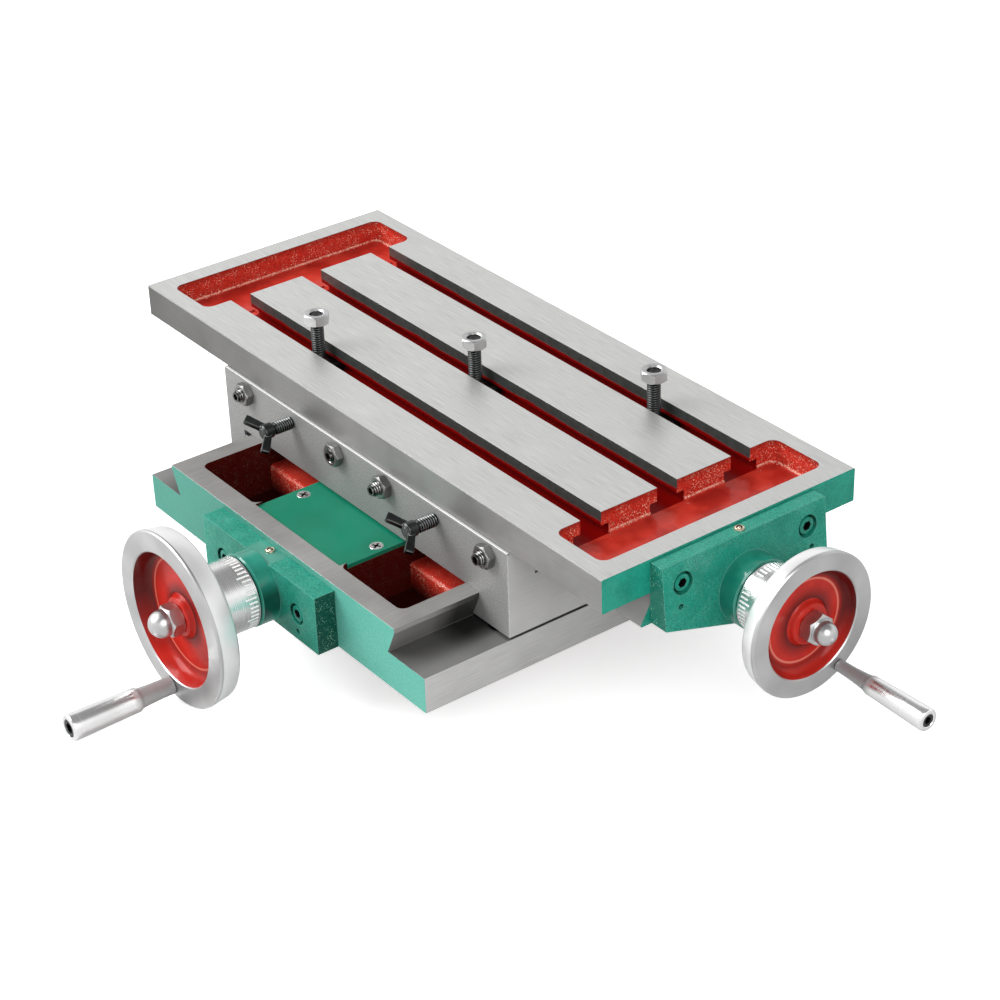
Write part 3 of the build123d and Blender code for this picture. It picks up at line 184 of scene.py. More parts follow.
class Shader:
    """A short way to write the node tree of a material or of the world.

    Its place is in metres and, like its normal, in the body's own frame."""

    def __init__(self, name, world=None):
        self.material = world or bpy.data.materials.new(name)
        self.material.use_nodes = True
        self.tree = self.material.node_tree
        self.surface = self.tree.nodes["Background" if world else "Principled BSDF"]
        coordinates = self.node("ShaderNodeTexCoord")
        self.place = coordinates.outputs["Object"]
        self.normal = coordinates.outputs["Normal"]

    def node(self, kind, inputs=(), **settings):
        new = self.tree.nodes.new(kind)
        for key, value in settings.items():
            setattr(new, key, value)
        for key, value in dict(inputs).items():
            self.set(new.inputs[key], value)
        return new

    def set(self, socket, value):
        if isinstance(value, bpy.types.NodeSocket):
            self.tree.links.new(value, socket)
        else:
            socket.default_value = value

    def put(self, **values):
        for key, value in values.items():
            self.set(self.surface.inputs[key.replace("_", " ")], value)

    def parts(self, vector):
        """A vector's three values."""
        return self.node("ShaderNodeSeparateXYZ", {0: vector}).outputs

    def vector(self, operation, a, b=(0, 0, 0)):
        made = self.node("ShaderNodeVectorMath", {0: a, 1: b}, operation=operation)
        return made.outputs["Value" if operation in ("LENGTH", "DOT_PRODUCT") else "Vector"]

    def math(self, operation, a, b=0.0, clamp=False):
        inputs = {0: a, 1: b}
        return self.node("ShaderNodeMath", inputs, operation=operation, use_clamp=clamp).outputs[0]

    def times(self, a, b):
        return self.math("MULTIPLY", a, b)

    def either(self, a, b):
        return self.math("ADD", a, b, clamp=True)

    def rest(self, value):
        """What a value leaves of 1."""
        return self.math("SUBTRACT", 1.0, value)

    def noise(self, scale, detail=3.0, roughness=0.5, vector=None):
        place = self.place if vector is None else vector
        inputs = {"Vector": place, "Scale": scale, "Detail": detail, "Roughness": roughness}
        return self.node("ShaderNodeTexNoise", inputs).outputs["Fac"]

    def cells(self, scale):
        inputs = {"Vector": self.place, "Scale": scale, "Smoothness": 0.6}
        return self.node("ShaderNodeTexVoronoi", inputs, feature="SMOOTH_F1").outputs["Distance"]

    def ramp(self, value, low, high, to_low=0.0, to_high=1.0):
        inputs = {"Value": value, "From Min": low, "From Max": high}
        inputs.update({"To Min": to_low, "To Max": to_high})
        return self.node("ShaderNodeMapRange", inputs).outputs["Result"]

    def band(self, value, low, low_full, high_full, high):
        """1 between the two middle limits, and 0 outside the outer ones."""
        return self.times(self.ramp(value, low, low_full), self.ramp(value, high, high_full))

    def mix(self, factor, a, b, kind="RGBA"):
        inputs = {"Factor": factor, "A": a, "B": b}
        return self.node("ShaderNodeMix", inputs, data_type=kind).outputs["Result"]

    def blend(self, factor, a, b):
        return self.mix(factor, a, b, kind="FLOAT")

    def mottle(self, tone, spread, dark, light):
        """Two colours mixed by a noise, whose values lie about 0.5."""
        return self.mix(self.ramp(tone, 0.5 - spread, 0.5 + spread), dark, light)

    def bump(self, height, strength, distance, normal=None):
        inputs = {"Height": height, "Strength": strength, "Distance": distance}
        if normal is not None:
            inputs["Normal"] = normal
        return self.node("ShaderNodeBump", inputs).outputs["Normal"]

    def inside(self, low, high):
        """1 inside the box between two corners, and 0 outside it."""
        centre = (Vector(low) + Vector(high)) / 2 * MM
        half = (Vector(high) - Vector(low)) / 2 * MM
        off = self.vector("ABSOLUTE", self.vector("SUBTRACT", self.place, centre))
        over = self.parts(self.vector("SUBTRACT", off, half))
        worst = self.math("MAXIMUM", over[X], over[Y])
        return self.math("LESS_THAN", self.math("MAXIMUM", worst, over[Z]), 0.0)

    def inside_any(self, boxes):
        total = 0.0
        for low, high in boxes:
            total = self.either(self.inside(low, high), total)
        return total

    def rounded_normal(self, radius):
        """The surface's normal with its edges rounded, and how near an edge it is."""
        soft = self.node("ShaderNodeBevel", {"Radius": radius * MM}, samples=4).outputs[0]
        flat = self.node("ShaderNodeNewGeometry").outputs["Normal"]
        return soft, self.ramp(self.vector("DOT_PRODUCT", soft, flat), 0.995, 0.9)

    def rise(self):
        """1 where the surface faces up, 0 where it is upright."""
        return self.parts(self.normal)[Z]

    def facing_up(self):
        """1 where the surface is level and faces up, and 0 elsewhere."""
        return self.ramp(self.rise(), 0.85, 0.95)

    def far_from(self, point, axis):
        """Distance from an axis through a point, in metres."""
        keep = Vector((1, 1, 1)) - Vector([abs(part) for part in axis])
        off = self.vector("SUBTRACT", self.place, Vector(point) * MM)
        return self.vector("LENGTH", self.vector("MULTIPLY", off, keep))


def iron_colour(shader, along, dark, light, blotch):
    """Ground cast iron: its colour, and the height of its grinding marks along an axis."""
    factors = [1 / (MARK_WIDTH * MM)] * 3
    factors[along] = 1 / (MARK_WIDTH * MARK_STRETCH * MM)
    drawn_out = shader.vector("MULTIPLY", shader.place, factors)
    fine = shader.noise(1.0, roughness=0.6, vector=drawn_out)
    tone = shader.blend(blotch, fine, shader.noise(22.0))
    return shader.mottle(tone, 0.14, dark, light), fine


def enamel_layers(shader, light, deep, size, coarse):
    """Thick enamel over a sand casting: its colour and its height.

    Where coarse is 1 the casting shows through, and where it is 0 the paint is smooth."""
    waves = shader.noise(500.0 / size, roughness=0.6)
    grit = shader.cells(900.0 / size)
    height = shader.math("ADD", shader.times(waves, 0.8), shader.times(grit, 0.6))
    shade = shader.ramp(height, 0.42, 0.8)
    pools = shader.ramp(shader.noise(55.0), 0.35, 0.6, 0.2, 0.85)
    return shader.mix(shader.blend(coarse, pools, shade), deep, light), height


def lit_coves(shader):
    """A painted highlight along the rounded feet of cast walls, broken up by noise."""
    feet = shader.band(shader.rise(), 0.3, 0.45, 0.65, 0.8)
    return shader.times(feet, shader.ramp(shader.noise(800.0), 0.36, 0.6))


def glints(shader, size=1.0):
    """Painted glints: light specks where the grit would catch the light."""
    fine = shader.ramp(shader.noise(1400.0 / size, detail=0.0), 0.64, 0.72)
    return shader.times(fine, shader.ramp(shader.noise(190.0), 0.40, 0.58))


def red_paint(shader, size, coarse, coves):
    """Red enamel with painted glints on coarse casting, and a painted highlight in its coves."""
    red, height = enamel_layers(shader, RED, RED_DEEP, size, coarse)
    red = shader.mix(shader.times(glints(shader), coarse), red, PAINTED_GLINT)
    return shader.mix(shader.times(lit_coves(shader), coves), red, PAINTED_GLINT), height


def ground_iron(shader, colour, fine, edge_round, rough, depth=0.10):
    """Bare ground iron with brighter edges: its colour, roughness and normal."""
    soft, edge = shader.rounded_normal(edge_round)
    # Brighter edges: worn bare, and a painted highlight
    colour = shader.mix(shader.times(edge, 0.5), colour, IRON_EDGE)
    roughness = shader.ramp(fine, 0.3, 0.7, rough + 0.04, rough - 0.04)
    return colour, roughness, shader.bump(fine, depth, 0.00003, soft)


def painted_casting(
    shader, iron, fine, paints, height, coarse, edge_round, rough, metallic, coated=1.0
):
    """Sets a casting's surface: ground iron, and red and green enamel in their zones.

    Only the red paint is coarse."""
    (red_zone, red), (green_zone, green) = paints
    painted = shader.either(red_zone, green_zone)
    paint = shader.mix(green_zone, red, green)
    bare = shader.rest(painted)
    iron, iron_rough, grain = ground_iron(
        shader, iron, fine, edge_round, rough, shader.times(bare, 0.10)
    )
    shader.put(Base_Color=shader.mix(painted, iron, paint))
    shader.put(Metallic=shader.times(bare, metallic))
    shader.put(Roughness=shader.blend(painted, iron_rough, 0.35))
    shader.put(Specular_IOR_Level=shader.blend(painted, 0.5, PAINT_SHINE))
    coat = shader.times(shader.times(painted, coated), PAINT_COAT)
    shader.put(Coat_Weight=coat, Coat_Roughness=0.12)
    roughened = shader.times(coarse, red_zone)
    strength = shader.times(painted, shader.blend(roughened, 0.2, 0.9))
    shader.put(Normal=shader.bump(height, strength, 0.0004, grain))


def box_about(centre, half):
    return (Vector(centre) - Vector(half), Vector(centre) + Vector(half))


def table_material():
    """Ground top and sides, red enamel in the pockets and tees, green ends."""
    shader = Shader("table_finish")
    along, _, level = shader.parts(shader.place)
    top_colour, fine = iron_colour(shader, X, IRON_DARK, IRON_LIGHT, 0.12)
    # The sides are darker than the top: a plainer finish than the ground top, and painted shade
    side_colour = iron_colour(shader, X, IRON_SIDE_DARK, IRON_SIDE_LIGHT, 0.7)[0]
    # Painted shade: the sides darken toward the left end
    painted_shade = shader.ramp(along, table_low.x * MM, (table_centre.x + 30) * MM, 0.62, 0.0)
    side_colour = shader.mix(painted_shade, side_colour, rgba(0.03, 0.029, 0.025))
    top = shader.inside(
        (table_low.x, table_low.y, table_top - 0.5), (table_high.x, table_high.y, table_top + EDGE)
    )
    top = shader.times(top, shader.facing_up())
    iron = shader.mix(top, side_colour, top_colour)
    # Painted shade: the sloping chamfers are darker and less metallic, which holds back the lamp's
    # highlight on them
    bevelled = shader.band(shader.rise(), 0.3, 0.5, 0.85, 0.95)
    iron = shader.mix(bevelled, iron, rgba(0.22, 0.22, 0.215))

    centre = table_centre
    half = (table_high - table_low) / 2
    pocket_out = half.x - POCKET_END_WALL + EDGE
    pocket_in = pocket_out - POCKET_WIDTH - 2 * EDGE
    left, right = centre.x - pocket_out, centre.x + pocket_out
    slot_left, slot_right = centre.x - pocket_in, centre.x + pocket_in
    front = table_low.y + POCKET_SIDE_WALL - EDGE
    rear = table_high.y - POCKET_SIDE_WALL + EDGE
    paint_low = table_top - SLOT_DEPTH - EDGE
    red_boxes = [
        ((left, front, paint_low), (right, rear, table_top - SLOT_THROAT + EDGE)),
        ((left, front, paint_low), (slot_left, rear, table_top - 0.25)),
        ((slot_right, front, paint_low), (right, rear, table_top - 0.25)),
    ]
    throats = []
    for index in (-1, 0, 1):
        near = centre.y + index * SLOT_PITCH - SLOT_HALF - EDGE
        far = centre.y + index * SLOT_PITCH + SLOT_HALF + EDGE
        low = (slot_left, near, table_top - SLOT_THROAT)
        throats.append((low, (slot_right, far, table_top - 0.3)))
    throat_zone = shader.inside_any(throats)
    # The bare throats of the slots are dark: their machined iron, and painted shade down in the
    # slots
    tones = (rgba(0.07, 0.085, 0.078), rgba(0.19, 0.21, 0.20))
    iron = shader.mix(throat_zone, iron, shader.mix(shader.noise(300.0, detail=4.0), *tones))

    waves = shader.times(shader.noise(45.0, detail=4.0), 0.003)
    paint_line = (table_top - PAINT_LINE) * MM
    painted_throat = shader.ramp(
        shader.math("ADD", level, waves), paint_line + 0.6 * MM, paint_line - 0.6 * MM
    )
    run_down = shader.times(throat_zone, painted_throat)
    red_zone = shader.either(shader.inside_any(red_boxes), run_down)
    ends = []
    for end_x in (table_low.x, table_high.x):
        ends.append(box_about((end_x, centre.y, centre.z), (0.7, half.y + EDGE, half.z)))
    green_zone = shader.times(shader.inside_any(ends), shader.rest(top))
    coarse = shader.rest(shader.facing_up())
    red, height = red_paint(shader, 0.65, coarse, 0.75)
    near_rim = shader.ramp(level, (table_top - 5) * MM, table_top * MM, 0.0, 0.55)
    red = shader.mix(shader.times(near_rim, coarse), red, rgba(0.09, 0.006, 0.004))
    # Painted shade: the red paint down in the slots is darker
    in_slot = shader.inside(
        (slot_left + 0.2, table_low.y, paint_low), (slot_right - 0.2, table_high.y, table_top)
    )
    red = shader.mix(in_slot, red, rgba(0.20, 0.002, 0.0015))
    green = enamel_layers(shader, GREEN, GREEN_DEEP, 0.8, 0.4)[0]
    painted_casting(
        shader,
        iron,
        fine,
        ((red_zone, red), (green_zone, green)),
        height,
        coarse,
        edge_round=0.07,
        rough=0.42,
        metallic=shader.times(shader.rest(bevelled), 0.75),
        coated=shader.rest(in_slot),
    )
    return shader.material


def base_material():
    """Machined ways and sides, red enamel in the bays, green front and back."""
    shader = Shader("base_finish")
    across, along, level = shader.parts(shader.place)
    outward = shader.math("ABSOLUTE", across)
    iron, fine = iron_colour(shader, Y, rgba(0.30, 0.29, 0.28), rgba(0.46, 0.45, 0.44), 0.5)
    # The flanks are lighter than the top: their own brushed finish, and painted light
    flank = iron_colour(shader, Y, rgba(0.50, 0.495, 0.49), rgba(0.67, 0.665, 0.66), 0.35)[0]
    flanks, shelves = [], []
    half_depth = base_high.y + 1
    for side_x in (base_low.x, base_high.x):
        flanks.append(box_about((side_x, 0, SHELF_TOP / 2), (0.3, half_depth, SHELF_TOP / 2)))
        shelves.append(box_about((side_x, 0, SHELF_TOP), (SHELF_WIDTH, half_depth, 0.3)))
    # Painted shade: the shelves darken inward, toward the dovetail
    tones = (rgba(0.15, 0.15, 0.147), rgba(0.30, 0.30, 0.295))
    shelf = shader.mix(shader.ramp(outward, 0.116, 0.134), *tones)
    iron = shader.mix(shader.inside_any(shelves), iron, shelf)
    # Painted shadow of the saddle on the ways and flanks beneath it; it stays put when the saddle
    # moves
    under_saddle = shader.times(
        shader.ramp(along, -0.098, -0.082, 0.0, 0.8), shader.ramp(along, 0.105, 0.118, 1.0, 0.0)
    )
    painted_saddle_shadow = shader.times(under_saddle, shader.ramp(outward, 0.119, 0.131, 1.0, 0.25))
    below_rim = shader.math("LESS_THAN", level, (base_high.z - 0.5) * MM)
    iron = shader.mix(shader.times(painted_saddle_shadow, below_rim), iron, rgba(0.012, 0.012, 0.011))
    iron = shader.mix(shader.inside_any(flanks), iron, flank)

    red_zone = shader.inside(
        (-BAY_HALF - EDGE, base_low.y + BASE_WALL - WALL_PAINT, BASE_FLOOR - EDGE),
        (BAY_HALF + EDGE, base_high.y - BASE_WALL + EDGE, base_high.z - 0.2),
    )
    faces = []
    for face_y in (base_low.y, base_high.y):
        low = (base_low.x - EDGE, face_y - EDGE, base_low.z - EDGE)
        faces.append((low, (base_high.x + EDGE, face_y + EDGE, base_high.z - 0.1)))
    green_zone = shader.inside_any(faces)
    coarse = shader.rest(shader.times(shader.facing_up(), 0.7))
    red, height = red_paint(shader, 0.75, coarse, 0.3)
    # Painted shade: the red darkens down toward the bays' floor, and on walls that face +X
    deep = shader.ramp(level, BASE_FLOOR * MM, (SHELF_TOP - 3) * MM, 0.985, 0.0)
    turned_away = shader.ramp(shader.parts(shader.normal)[X], 0.3, 0.9, 0.0, 0.92)
    red = shader.mix(shader.math("MAXIMUM", deep, turned_away), red, RED_SHADE)
    green = enamel_layers(shader, GREEN_PALE, rgba(0.075, 0.36, 0.285), 0.6, 0.8)[0]
    # Painted shade: the green front and back darken toward the left end
    green = shader.mix(shader.ramp(across, -0.07, 0.07, 0.62, 0.2), green, GREEN_DEEP)
    painted_casting(
        shader,
        iron,
        fine,
        ((red_zone, red), (green_zone, green)),
        height,
        coarse,
        edge_round=0.3,
        rough=0.44,
        metallic=0.75,
    )
    return shader.material


def saddle_material():
    """Machined faces: the front darker and the ends lighter, as painted light."""
    shader = Shader("saddle_finish")
    grain = shader.noise(1300.0, detail=2.0)
    front = shader.mottle(grain, 0.15, rgba(0.22, 0.221, 0.218), rgba(0.34, 0.34, 0.336))
    # Painted light: the ends are coloured lighter than the front
    end, fine = iron_colour(shader, Y, rgba(0.40, 0.395, 0.39), rgba(0.52, 0.515, 0.51), 0.6)
    centre = (saddle_low + saddle_high) / 2
    ends = []
    for end_x in (saddle_low.x, saddle_high.x):
        ends.append(box_about((end_x, centre.y, centre.z), (0.3, 200, 200)))
    iron = shader.mix(shader.inside_any(ends), front, end)
    # Painted highlight and shade on the top front chamfer: a light line along its top, dark below it
    bevel = shader.inside(
        (saddle_low.x, saddle_low.y - EDGE, saddle_high.z - 2),
        (saddle_high.x, saddle_low.y + 2, saddle_high.z + EDGE),
    )
    bevel = shader.times(bevel, shader.ramp(shader.rise(), 0.3, 0.5))
    level = shader.parts(shader.place)[Z]
    upper = shader.math("GREATER_THAN", level, (saddle_high.z - 0.2) * MM)
    bevel_colour = shader.mix(upper, rgba(0.13, 0.13, 0.128), rgba(0.6, 0.6, 0.59))
    iron = shader.mix(bevel, iron, bevel_colour)
    colour, roughness, normal = ground_iron(shader, iron, fine, 0.1, 0.56)
    shader.put(Base_Color=colour, Roughness=roughness, Normal=normal, Metallic=0.4)
    return shader.material


def bracket_material(end, outward, boss_radius, side_axis, side_shade):
    """Green enamel on a bracket: a glossy boss, and pebbled, darker sides."""
    shader = Shader(f"{end}_bracket_paint")
    away = shader.far_from(axis_point(f"{end}_dial", outward), outward)
    boss = shader.math("LESS_THAN", away, (boss_radius + 0.3) * MM)
    facing = shader.parts(shader.vector("ABSOLUTE", shader.normal))
    flank = shader.ramp(facing[side_axis], 0.8, 0.98)
    top = shader.ramp(facing[Z], 0.8, 0.98)
    broad = shader.noise(90.0)
    coarse = shader.math("MAXIMUM", flank, top)
    coarse = shader.math("MAXIMUM", coarse, shader.ramp(broad, 0.4, 0.6, 0.55, 1.0))
    coarse = shader.blend(boss, coarse, 0.1)
    green, height = enamel_layers(shader, GREEN, GREEN_DEEP, 0.65, coarse)
    green = shader.mix(shader.ramp(broad, 0.4, 0.8, 0.0, 0.15), green, GREEN_PALE)
    green = shader.mix(shader.times(flank, side_shade), green, rgba(0.001, 0.04, 0.027))
    # Painted glints: light specks on the pebbled paint, none on the boss
    painted_glint_specks = shader.times(glints(shader, 0.9), shader.blend(flank, 0.13, 0.42))
    painted_glint_specks = shader.times(painted_glint_specks, shader.rest(boss))
    green = shader.mix(painted_glint_specks, green, rgba(0.40, 0.72, 0.52))
    # The edges are lighter: worn paint, and a painted highlight
    soft, edge = shader.rounded_normal(0.7)
    shader.put(Base_Color=shader.mix(shader.times(edge, 0.6), green, GREEN_PALE))
    shader.put(Roughness=0.32, Specular_IOR_Level=PAINT_SHINE)
    shader.put(Coat_Weight=shader.blend(boss, 0.25, 1.0), Coat_Roughness=0.12)
    shader.put(Normal=shader.bump(height, shader.blend(coarse, 0.12, 0.8), 0.0003, soft))
    return shader.material


def plate_material():
    """Green enamel on sheet steel: smooth, with the faintest ripple."""
    shader = Shader("cover_plate_paint")
    ripple = shader.noise(260.0, detail=2.0)
    tone = shader.noise(30.0, detail=2.0)
    green = shader.mottle(tone, 0.2, rgba(0.007, 0.16, 0.092), rgba(0.010, 0.21, 0.125))
    # The edges are lighter: worn paint, and a painted highlight
    soft, edge = shader.rounded_normal(0.3)
    shader.put(Base_Color=shader.mix(shader.times(edge, 0.5), green, GREEN_PALE))
    shader.put(Roughness=0.4, Specular_IOR_Level=PAINT_SHINE)
    shader.put(Coat_Weight=0.1, Coat_Roughness=0.2)
    shader.put(Normal=shader.bump(ripple, 0.12, 0.0002, soft))
    return shader.material


def screw_paint():
    """Smooth green enamel on the brackets' screws."""
    shader = Shader("screw_paint")
    shader.put(Base_Color=shader.mottle(shader.noise(70.0), 0.2, GREEN_DEEP, GREEN))
    shader.put(Roughness=0.3, Specular_IOR_Level=PAINT_SHINE)
    shader.put(Coat_Weight=0.45, Coat_Roughness=0.16)
    shader.put(Normal=shader.bump(shader.noise(420.0, detail=2.0), 0.12, 0.0003))
    return shader.material


def metal(name, dark, light, rough_low, rough_high, edge=None, crest=None):
    """Plain worked metal, with a fine tooth and slow changes of tone.

    Painted light: lighter edges, also worn, and a thread's lit crests and shaded roots."""
    shader = Shader(name)
    fine = shader.noise(1500.0)
    colour = shader.mottle(shader.noise(60.0), 0.15, dark, light)
    shader.put(Roughness=shader.ramp(fine, 0.3, 0.7, rough_low, rough_high), Metallic=1.0)
    normal = None
    if crest:
        # Painted shade in a thread's roots, and a painted highlight on its crests
        rise = shader.node("ShaderNodeAttribute", attribute_name="crest").outputs["Fac"]
        colour = shader.mix(shader.ramp(rise, 0.5, 0.0), colour, rgba(0.004, 0.004, 0.004))
        colour = shader.mix(shader.ramp(rise, 0.7, 1.0), colour, crest)
    if edge:
        # Lighter edges: wear, and a painted highlight
        normal, near = shader.rounded_normal(0.25)
        colour = shader.mix(shader.times(near, 0.7), colour, edge)
    shader.put(Base_Color=colour, Normal=shader.bump(fine, 0.08, 0.00002, normal))
    return shader.material


def dress(material, *names):
    """Gives CAD nodes a material through their objects' slots."""
    for name in names:
        piece = nodes[name]
        for slot in piece.material_slots:
            slot.material = material
        if not piece.material_slots:
            piece.data.materials.append(material)


def standing(origin, axis, across=UP):
    """A frame whose local z runs along an axis, with local x across it."""
    z = Vector(axis).normalized()
    x = Vector(across) - z * z.dot(Vector(across))
    x.normalize()
    return Matrix.Translation(Vector(origin)) @ Matrix((x, z.cross(x), z)).transposed().to_4x4()


def polygon(sides, across_flats):
    """Radius of a regular polygon at an angle; at angle 0 it has the middle of a flat."""
    part = tau / sides
    return lambda angle: across_flats / 2 / cos((angle + part / 2) % part - part / 2)


def softened(outline):
    """Rounds a closed outline's corners. A point is (radius, height, slot, its rounding)."""
    rings = []
    for index, point in enumerate(outline):
        slot = point[2] if len(point) > 2 else 0
        rounding = point[3] if len(point) > 3 else CORNER_ROUND
        here = Vector(point[:2])
        if rounding == 0:
            rings.append((here.x, here.y, slot))
            continue
        before = Vector(outline[index - 1][:2]) - here
        after = Vector(outline[(index + 1) % len(outline)][:2]) - here
        share = 0.45 if rounding < 4 else 0.7
        cut = min(rounding, before.length * share, after.length * share)
        start = here + before.normalized() * cut
        end = here + after.normalized() * cut
        for step in range(ROUND_STEPS + 1):
            t = step / ROUND_STEPS
            spot = start.lerp(here, t).lerp(here.lerp(end, t), t)
            rings.append((spot.x, spot.y, slot))
    return rings


def thread(radius, start, end):
    """Rings of a screw thread from one height to another, either way along the axis."""
    count = max(2, round(abs(end - start) / THREAD_PITCH * THREAD_ROWS))
    rings = []
    for row in range(count + 1):
        height = start + (end - start) * row / count
        fade = min(1.0, min(row, count - row) / THREAD_ROWS)

        def reach(angle, height=height, fade=fade):
            phase = (height / THREAD_PITCH - angle / tau) % 1.0
            ridge = 1 - abs(2 * phase - 1)
            return radius - THREAD_DEPTH * (1 - fade * min(1.0, ridge * 1.3))

        rings.append((reach, height, 0, radius - THREAD_DEPTH))
    return rings


def hex_rings(across_flats, low, high):
    """A hexagon's sides between two heights, chamfered at both."""
    shape = polygon(6, across_flats)
    flat = across_flats / 2 * 0.95

    def low_edge(angle):
        return low + 0.75 * (shape(angle) - flat)

    def high_edge(angle):
        return high - 0.75 * (shape(angle) - flat)

    return [(flat, low), (shape, low_edge), (shape, high_edge), (flat, high)]


def socket_rings(top, head_radius, head_low, across_flats, depth):
    """A socket head's hexagon and rounded rim, from the socket's floor outward."""
    hexagon = polygon(6, across_flats)
    rings = [(0, top - depth, 1), (hexagon, top - depth, 1), (hexagon, top - 0.25, 1)]
    rings += [(lambda angle: hexagon(angle) + 0.25, top), (head_radius - 0.5, top)]
    rings += [(head_radius - 0.15, top - 0.15), (head_radius, top - 0.5)]
    return rings + [(head_radius, head_low)]


def add_object(name, data):
    made = bpy.data.objects.new(name, data)
    bpy.context.scene.collection.objects.link(made)
    return made


class Piece:
    """One mesh piece, put together from turned forms and skinned sections."""

    def __init__(self):
        self.mesh = bmesh.new()
        self.crest = self.mesh.verts.layers.float.new("crest")

    def turned(self, place, rings, steps=72, loop=False):
        """Rings about the place's z axis, each (radius, height, slot, root radius).

        A radius or a height may be a function of the angle. A thread's rings have the
        radius of its root, and its points keep how near its crest they are."""
        rows = []
        for ring in rings:
            radius, height = ring[:2]
            if radius == 0:
                rows.append([self.mesh.verts.new(place @ Vector((0, 0, height)))])
                continue
            row = []
            for step in range(steps):
                angle = tau * step / steps
                reach = radius(angle) if callable(radius) else radius
                lift = height(angle) if callable(height) else height
                spot = Vector((reach * cos(angle), reach * sin(angle), lift))
                point = self.mesh.verts.new(place @ spot)
                point[self.crest] = (reach - ring[3]) / THREAD_DEPTH if len(ring) > 3 else 0.6
                row.append(point)
            rows.append(row)
        pairs = [(index, index + 1) for index in range(len(rows) - 1)]
        if loop:
            pairs.append((len(rows) - 1, 0))
        for first, second in pairs:
            low, high = rows[first], rows[second]
            slot = rings[first][2] if len(rings[first]) > 2 else 0
            for step in range(steps):
                after = (step + 1) % steps
                corners = [low[step % len(low)], low[after % len(low)]]
                corners += [high[after % len(high)], high[step % len(high)]]
                face = self.mesh.faces.new(list(dict.fromkeys(corners)))
                face.material_index = slot

    def skinned(self, sections, slot):
        """A closed skin over loops of points, with flat ends."""
        rows = [[self.mesh.verts.new(point) for point in section] for section in sections]
        loops = [rows[0], rows[-1]]
        for low, high in zip(rows, rows[1:]):
            for step in range(len(low)):
                after = (step + 1) % len(low)
                loops.append((low[step], low[after], high[after], high[step]))
        for loop in loops:
            self.mesh.faces.new(loop).material_index = slot

    def build(self, node, suffix, *materials, sharp=35):
        """Makes the object, which stands for a CAD node and rides on its body."""
        bmesh.ops.recalc_face_normals(self.mesh, faces=self.mesh.faces)
        self.mesh.transform(Matrix.Scale(MM, 4))
        name = f"{node}_{suffix}"
        data = bpy.data.meshes.new(name)
        self.mesh.to_mesh(data)
        self.mesh.free()
        data.shade_smooth()
        data.set_sharp_from_angle(angle=radians(sharp))
        for material in materials:
            data.materials.append(material)
        piece = add_object(name, data)
        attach(piece, nodes[node]["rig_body"])
        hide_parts(node)


def turn_piece(node, suffix, place, rings, *materials, steps=72, loop=False, sharp=35):
    piece = Piece()
    piece.turned(place, rings, steps, loop)
    piece.build(node, suffix, *materials, sharp=sharp)


# Finishes of the castings and of the hidden pieces
dress(table_material(), "table")
dress(base_material(), "base_casting")
dress(saddle_material(), "saddle")
dress(bracket_material("front", FRONT, 22.0, X, 0.95), "front_bracket")
dress(bracket_material("end", RIGHT, 20.3, Y, 0.4), "end_bracket")
dress(plate_material(), "cover_plate")
steel = metal("machined_steel", rgba(0.35, 0.35, 0.34), rgba(0.5, 0.5, 0.49), 0.3, 0.42)
dress(steel, "long_gib", "cross_gib", "cross_lead_screw", "long_lead_screw")
dress(steel, "cross_key", "long_key", "feed_nut_screws")
dowel_steel = metal("dowel_steel", rgba(0.015, 0.03, 0.025), rgba(0.03, 0.05, 0.04), 0.5, 0.7)
dress(dowel_steel, "front_dowels", "end_dowels")
bronze = metal("bronze", rgba(0.35, 0.2, 0.09), rgba(0.5, 0.31, 0.15), 0.25, 0.4)
dress(bronze, "long_feed_nut", "cross_feed_nut", "front_bush", "end_bush")
dress(bronze, "cross_thrust_washer", "long_thrust_washer")

# Materials of the detailed pieces
green_gloss = screw_paint()
zinc = metal("zinc_steel", rgba(0.55, 0.55, 0.54), rgba(0.78, 0.78, 0.77), 0.2, 0.3)
nut_steel = metal(
    "nut_steel", rgba(0.5, 0.5, 0.5), rgba(0.62, 0.62, 0.62), 0.3, 0.42, edge=BRIGHT
)
jam_steel = metal(
    "jam_nut_steel", rgba(0.18, 0.18, 0.175), rgba(0.32, 0.32, 0.31), 0.3, 0.4, edge=BRIGHT
)
black_edge = rgba(0.42, 0.43, 0.43)
black = metal(
    "black_oxide", rgba(0.035, 0.038, 0.038), rgba(0.08, 0.083, 0.083), 0.26, 0.4, edge=black_edge
)
brass = metal("brass", rgba(0.55, 0.40, 0.26), rgba(0.85, 0.70, 0.54), 0.25, 0.4)
# Painted shade for sockets, recesses, and the gaps at the dial and at the oiler's seat
painted_recess_shade = metal("socket_shade", rgba(0.01, 0.012, 0.012), rgba(0.025, 0.03, 0.03), 0.5, 0.7)
screw_crest = rgba(0.6, 0.6, 0.59)
screw_steel = metal(
    "screw_steel", rgba(0.12, 0.12, 0.115), rgba(0.22, 0.22, 0.21), 0.22, 0.34, crest=screw_crest
)
bolt_crest = rgba(0.10, 0.102, 0.102)
bolt_black = metal(
    "bolt_black", rgba(0.035, 0.037, 0.037), rgba(0.06, 0.062, 0.062), 0.3, 0.42, crest=bolt_crest
)
black_crest = rgba(0.30, 0.31, 0.31)
black_thread = metal(
    "black_thread", rgba(0.03, 0.032, 0.032), rgba(0.06, 0.062, 0.062), 0.26, 0.36, crest=black_crest
)


